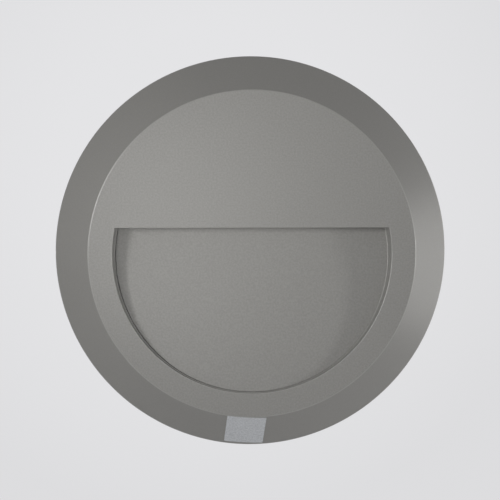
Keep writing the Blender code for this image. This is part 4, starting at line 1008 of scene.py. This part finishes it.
for name in ("cover_seal", "ramp_seal", "window_seal"):
    silicone = new_finish(f"{name}_silicone_sheet", SILICONE, roughness=0.6)
    silicone.node_tree.nodes["Principled BSDF"].inputs["Subsurface Weight"].default_value = 0.05
    cloud = grain(silicone, size=0.004)
    colour_along(silicone, cloud, SILICONE_DARK, SILICONE_LIGHT)
    roughness_along(silicone, cloud, smooth=0.5, rough=0.68)
    relief(silicone, grain(silicone, size=0.0006), height=0.00002)
    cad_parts[name].material_slots[0].material = silicone


# The LED carrier: a folded channel of bare aluminium over the window. It clamps the window, holds the
# board, and carries off its heat. It shows the rolling lines of the sheet.

ROLLED_DARK = (0.62, 0.63, 0.64, 1.0)
ROLLED_LIGHT = (0.78, 0.79, 0.80, 1.0)

aluminium = new_finish("carrier_rolled_aluminium", (0.75, 0.76, 0.77, 1.0), roughness=0.4, metallic=1.0)
rolling = grain(aluminium, size=0.006, detail=4.0, stretch=(1, 18, 18))
colour_along(aluminium, rolling, ROLLED_DARK, ROLLED_LIGHT)
roughness_along(aluminium, rolling, smooth=0.32, rough=0.48)
relief(aluminium, rolling, height=0.00001)
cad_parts["led_carrier"].material_slots[0].material = aluminium


# The LED board: a white-lacquered metal strip with twelve white LEDs under it, each a white cup with a
# yellow phosphor well.

LACQUER_DARK = (0.84, 0.84, 0.83, 1.0)
LACQUER_LIGHT = (0.90, 0.90, 0.89, 1.0)
PHOSPHOR_DARK = (0.88, 0.70, 0.22, 1.0)
PHOSPHOR_LIGHT = (0.96, 0.84, 0.38, 1.0)

lacquer = new_finish("board_white_lacquer", (0.88, 0.88, 0.87, 1.0), roughness=0.45)
brush = grain(lacquer, size=0.003)
colour_along(lacquer, brush, LACQUER_DARK, LACQUER_LIGHT)
roughness_along(lacquer, brush, smooth=0.4, rough=0.52)
relief(lacquer, brush, height=0.00001)
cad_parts["led_board"].material_slots[0].material = lacquer
phosphor = new_finish("led_yellow_phosphor", (0.95, 0.80, 0.30, 1.0), roughness=0.5)
powder = grain(phosphor, size=0.0003, detail=3.0)
colour_along(phosphor, powder, PHOSPHOR_DARK, PHOSPHOR_LIGHT)
relief(phosphor, powder, height=0.00001)
for number in range(1, 13):
    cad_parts[f"led_{number:02d}"].material_slots[0].material = phosphor


# The driver: a white plastic tub with a lid, screwed to the casing by a lug at either end. Its green
# circuit board has a transformer, a choke and two capacitors on it.

PLASTIC_DARK = (0.81, 0.81, 0.79, 1.0)
PLASTIC_LIGHT = (0.87, 0.87, 0.85, 1.0)
MASK_DARK = (0.025, 0.15, 0.07, 1.0)
MASK_LIGHT = (0.05, 0.25, 0.12, 1.0)

for name in ("driver_case", "driver_lid"):
    plastic = new_finish(f"{name}_spark_plastic", (0.85, 0.85, 0.83, 1.0), roughness=0.45)
    spark = grain(plastic, size=0.0005, detail=3.0)
    colour_along(plastic, spark, PLASTIC_DARK, PLASTIC_LIGHT)
    roughness_along(plastic, spark, smooth=0.4, rough=0.55)
    relief(plastic, spark, height=0.00002)
    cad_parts[name].material_slots[0].material = plastic
mask = new_finish("driver_board_solder_mask", (0.04, 0.22, 0.10, 1.0), roughness=0.4)
traces = grain(mask, size=0.004, detail=0.0, stretch=(1, 1, 3))
colour_along(mask, traces, MASK_DARK, MASK_LIGHT, low=0.48, high=0.52)
roughness_along(mask, traces, smooth=0.32, rough=0.45)
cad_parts["driver_board"].material_slots[0].material = mask


# The terminal block: three poles in white plastic with brass clamps, for live, neutral and earth. Beside
# it a brass tag on the casing's post earths the metal.

MOULDED_DARK = (0.80, 0.80, 0.78, 1.0)
MOULDED_LIGHT = (0.86, 0.86, 0.84, 1.0)
BRASS_DARK = (0.58, 0.42, 0.17, 1.0)
BRASS_LIGHT = (0.76, 0.59, 0.28, 1.0)

terminal_plastic = new_finish("terminal_white_plastic", (0.84, 0.84, 0.82, 1.0), roughness=0.4)
moulding = grain(terminal_plastic, size=0.001)
colour_along(terminal_plastic, moulding, MOULDED_DARK, MOULDED_LIGHT)
roughness_along(terminal_plastic, moulding, smooth=0.34, rough=0.46)
relief(terminal_plastic, moulding, height=0.00001)
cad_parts["terminal_block"].material_slots[0].material = terminal_plastic
brass = new_finish("clamp_turned_brass", (0.72, 0.55, 0.25, 1.0), roughness=0.35, metallic=1.0)
tarnish = grain(brass, size=0.0015, detail=3.0)
colour_along(brass, tarnish, BRASS_DARK, BRASS_LIGHT)
roughness_along(brass, tarnish, smooth=0.28, rough=0.44)
for name in ("terminal_clamp_1", "terminal_clamp_2", "terminal_clamp_3", "earth_tag"):
    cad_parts[name].material_slots[0].material = brass


# The leads: single wires with a smooth plastic jacket. Brown, blue and green-yellow come from the
# terminal block, and red and black run from the driver to the LED board.

JACKETS = {
    "lead_live": (0.16, 0.05, 0.02),
    "lead_neutral": (0.03, 0.10, 0.45),
    "lead_earth": (0.30, 0.45, 0.03),
    "lead_led_plus": (0.45, 0.02, 0.02),
    "lead_led_minus": (0.02, 0.02, 0.02),
}
DULLED = 0.85

for name, colour in JACKETS.items():
    jacket = new_finish(f"{name}_smooth_jacket", (*colour, 1.0), roughness=0.4)
    handling = grain(jacket, size=0.002)
    dull = tuple(DULLED * part for part in colour)
    colour_along(jacket, handling, (*dull, 1.0), (*colour, 1.0))
    roughness_along(jacket, handling, smooth=0.34, rough=0.5)
    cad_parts[name].material_slots[0].material = jacket


# The stage: a plain pale floor well below the lamp, a pale backdrop far behind it, and four soft lamps.
# Two light the face from the left, one grazes it from the right, and one lights the rim from behind.

STAGE_COLOUR = (0.775, 0.775, 0.790, 1.0)
FLOOR_HEIGHT = -0.55
FLOOR_SIZE = 8
FLOOR_GLOW = 0.75
BACKDROP_PLACE = 1.5
BACKDROP_SIZE = 3
BACKDROP_GLOW = 1.0
SHADE_FALLOFF_START = 1.515
SHADE_FALLOFF_END = 1.59
SHADE_FALLOFF_SHARE = 0.93
ROOM_LIGHT = 0.08


def direct_sight(nodes, links):
    """One for what the camera sees, and for what it sees in metal or through glass; otherwise nothing."""
    path = nodes.new("ShaderNodeLightPath")
    total = path.outputs["Is Camera Ray"]
    for kind in ("Is Glossy Ray", "Is Transmission Ray"):
        either = nodes.new("ShaderNodeMath")
        either.operation = "MAXIMUM"
        links.new(total, either.inputs[0])
        links.new(path.outputs[kind], either.inputs[1])
        total = either.outputs["Value"]
    return total


def pale_stage(name, glow_share):
    """Plain pale paint with a share of glow for the camera. From behind it isn't there at all.

    Away from the middle the glow is painted a little darker: a painted falloff of studio light.
    """
    finish = new_finish(name, STAGE_COLOUR, roughness=0.9)
    nodes, links = finish.node_tree.nodes, finish.node_tree.links
    share = nodes.new("ShaderNodeMath")
    glow = nodes.new("ShaderNodeEmission")
    lit = nodes.new("ShaderNodeMixShader")
    side = nodes.new("ShaderNodeNewGeometry")
    clear = nodes.new("ShaderNodeBsdfTransparent")
    shown = nodes.new("ShaderNodeMixShader")
    share.operation = "MULTIPLY"
    share.inputs[1].default_value = glow_share
    place = nodes.new("ShaderNodeTexCoord")
    # Painted shade: the glow gets a little darker with distance from the middle
    distance = nodes.new("ShaderNodeVectorMath")
    painted_falloff = nodes.new("ShaderNodeMapRange")
    distance.operation = "LENGTH"
    painted_falloff.inputs["From Min"].default_value = SHADE_FALLOFF_START
    painted_falloff.inputs["From Max"].default_value = SHADE_FALLOFF_END
    painted_falloff.inputs["To Min"].default_value = 1.0
    painted_falloff.inputs["To Max"].default_value = SHADE_FALLOFF_SHARE
    glow.inputs["Color"].default_value = STAGE_COLOUR
    links.new(place.outputs["Object"], distance.inputs[0])
    links.new(distance.outputs["Value"], painted_falloff.inputs["Value"])
    links.new(painted_falloff.outputs["Result"], glow.inputs["Strength"])
    links.new(direct_sight(nodes, links), share.inputs[0])
    links.new(share.outputs["Value"], lit.inputs["Fac"])
    links.new(nodes["Principled BSDF"].outputs["BSDF"], lit.inputs[1])
    links.new(glow.outputs["Emission"], lit.inputs[2])
    links.new(side.outputs["Backfacing"], shown.inputs["Fac"])
    links.new(lit.outputs["Shader"], shown.inputs[1])
    links.new(clear.outputs["BSDF"], shown.inputs[2])
    links.new(shown.outputs["Shader"], nodes["Material Output"].inputs["Surface"])
    return finish


floor = start_piece(
    "floor",
    bpy.ops.mesh.primitive_plane_add,
    size=FLOOR_SIZE,
    location=(0, 0, FLOOR_HEIGHT),
)
floor.data.materials.append(pale_stage("floor_paint", FLOOR_GLOW))
backdrop = start_piece(
    "backdrop",
    bpy.ops.mesh.primitive_plane_add,
    size=BACKDROP_SIZE,
    location=(0, BACKDROP_PLACE, 0),
    rotation=(math.pi / 2, 0, 0),
)
backdrop.data.materials.append(pale_stage("backdrop_paint", BACKDROP_GLOW))

world = bpy.data.worlds.new("studio")
bpy.context.scene.world = world
world.use_nodes = True
nodes, links = world.node_tree.nodes, world.node_tree.links
pale = nodes.new("ShaderNodeBackground")
pale.inputs["Color"].default_value = STAGE_COLOUR
dim = nodes["Background"]
dim.inputs["Color"].default_value = (1.0, 1.0, 1.0, 1.0)
dim.inputs["Strength"].default_value = ROOM_LIGHT
mix = nodes.new("ShaderNodeMixShader")
links.new(direct_sight(nodes, links), mix.inputs["Fac"])
links.new(dim.outputs["Background"], mix.inputs[1])
links.new(pale.outputs["Background"], mix.inputs[2])
links.new(mix.outputs["Shader"], nodes["World Output"].inputs["Surface"])


def soft_lamp(name, turn, rise, distance, size, power, aim_height=0.0, spread=180):
    """A square soft lamp, this far round and above, aimed at the object's middle or a point over it."""
    turn, rise = math.radians(turn), math.radians(rise)
    place = (
        distance * math.sin(turn) * math.cos(rise),
        -distance * math.cos(turn) * math.cos(rise),
        distance * math.sin(rise),
    )
    outward = Matrix.Translation((place[0], place[1], place[2] - aim_height)).to_translation()
    facing = outward.to_track_quat("Z", "Y").to_euler()
    bpy.ops.object.light_add(type="AREA", location=place, rotation=facing)
    lamp = bpy.context.object
    lamp.name = name
    lamp.data.size = size
    lamp.data.energy = power
    lamp.data.spread = math.radians(spread)
    lamp.visible_camera = False


soft_lamp("key_lamp", turn=-38, rise=8, distance=2.0, size=0.4, power=13.9)
soft_lamp(
    "near_lamp", turn=-20, rise=2, distance=0.25, size=0.12, power=0.041, aim_height=0.05, spread=90
)
soft_lamp("rim_lamp", turn=110, rise=-8, distance=1.2, size=0.9, power=4.4)
soft_lamp("grazing_lamp", turn=68, rise=-4, distance=2.0, size=0.3, power=9.67)

bpy.context.scene.view_settings.view_transform = "Standard"


# The camera: a long lens one metre in front of the lamp, a little above its middle, as the photograph
# was taken.

CAMERA_DISTANCE = 1.0
CAMERA_TURN = math.radians(-2.2)
CAMERA_RISE = math.radians(4.5)
CAMERA_AIM = (-0.00084, -0.014, 0.00166)
CAMERA_LENS = 122.65
CAMERA_SENSOR = 36
back_x = math.sin(CAMERA_TURN) * math.cos(CAMERA_RISE)
back_y = -math.cos(CAMERA_TURN) * math.cos(CAMERA_RISE)
back_z = math.sin(CAMERA_RISE)
backward = Matrix.Translation((back_x, back_y, back_z)).to_translation()
bpy.ops.object.camera_add(
    location=[aim + CAMERA_DISTANCE * part for aim, part in zip(CAMERA_AIM, backward)],
    rotation=(-backward).to_track_quat("-Z", "Y").to_euler(),
)
camera = bpy.context.object
camera.data.lens = CAMERA_LENS
camera.data.sensor_width = CAMERA_SENSOR
bpy.context.scene.camera = camera
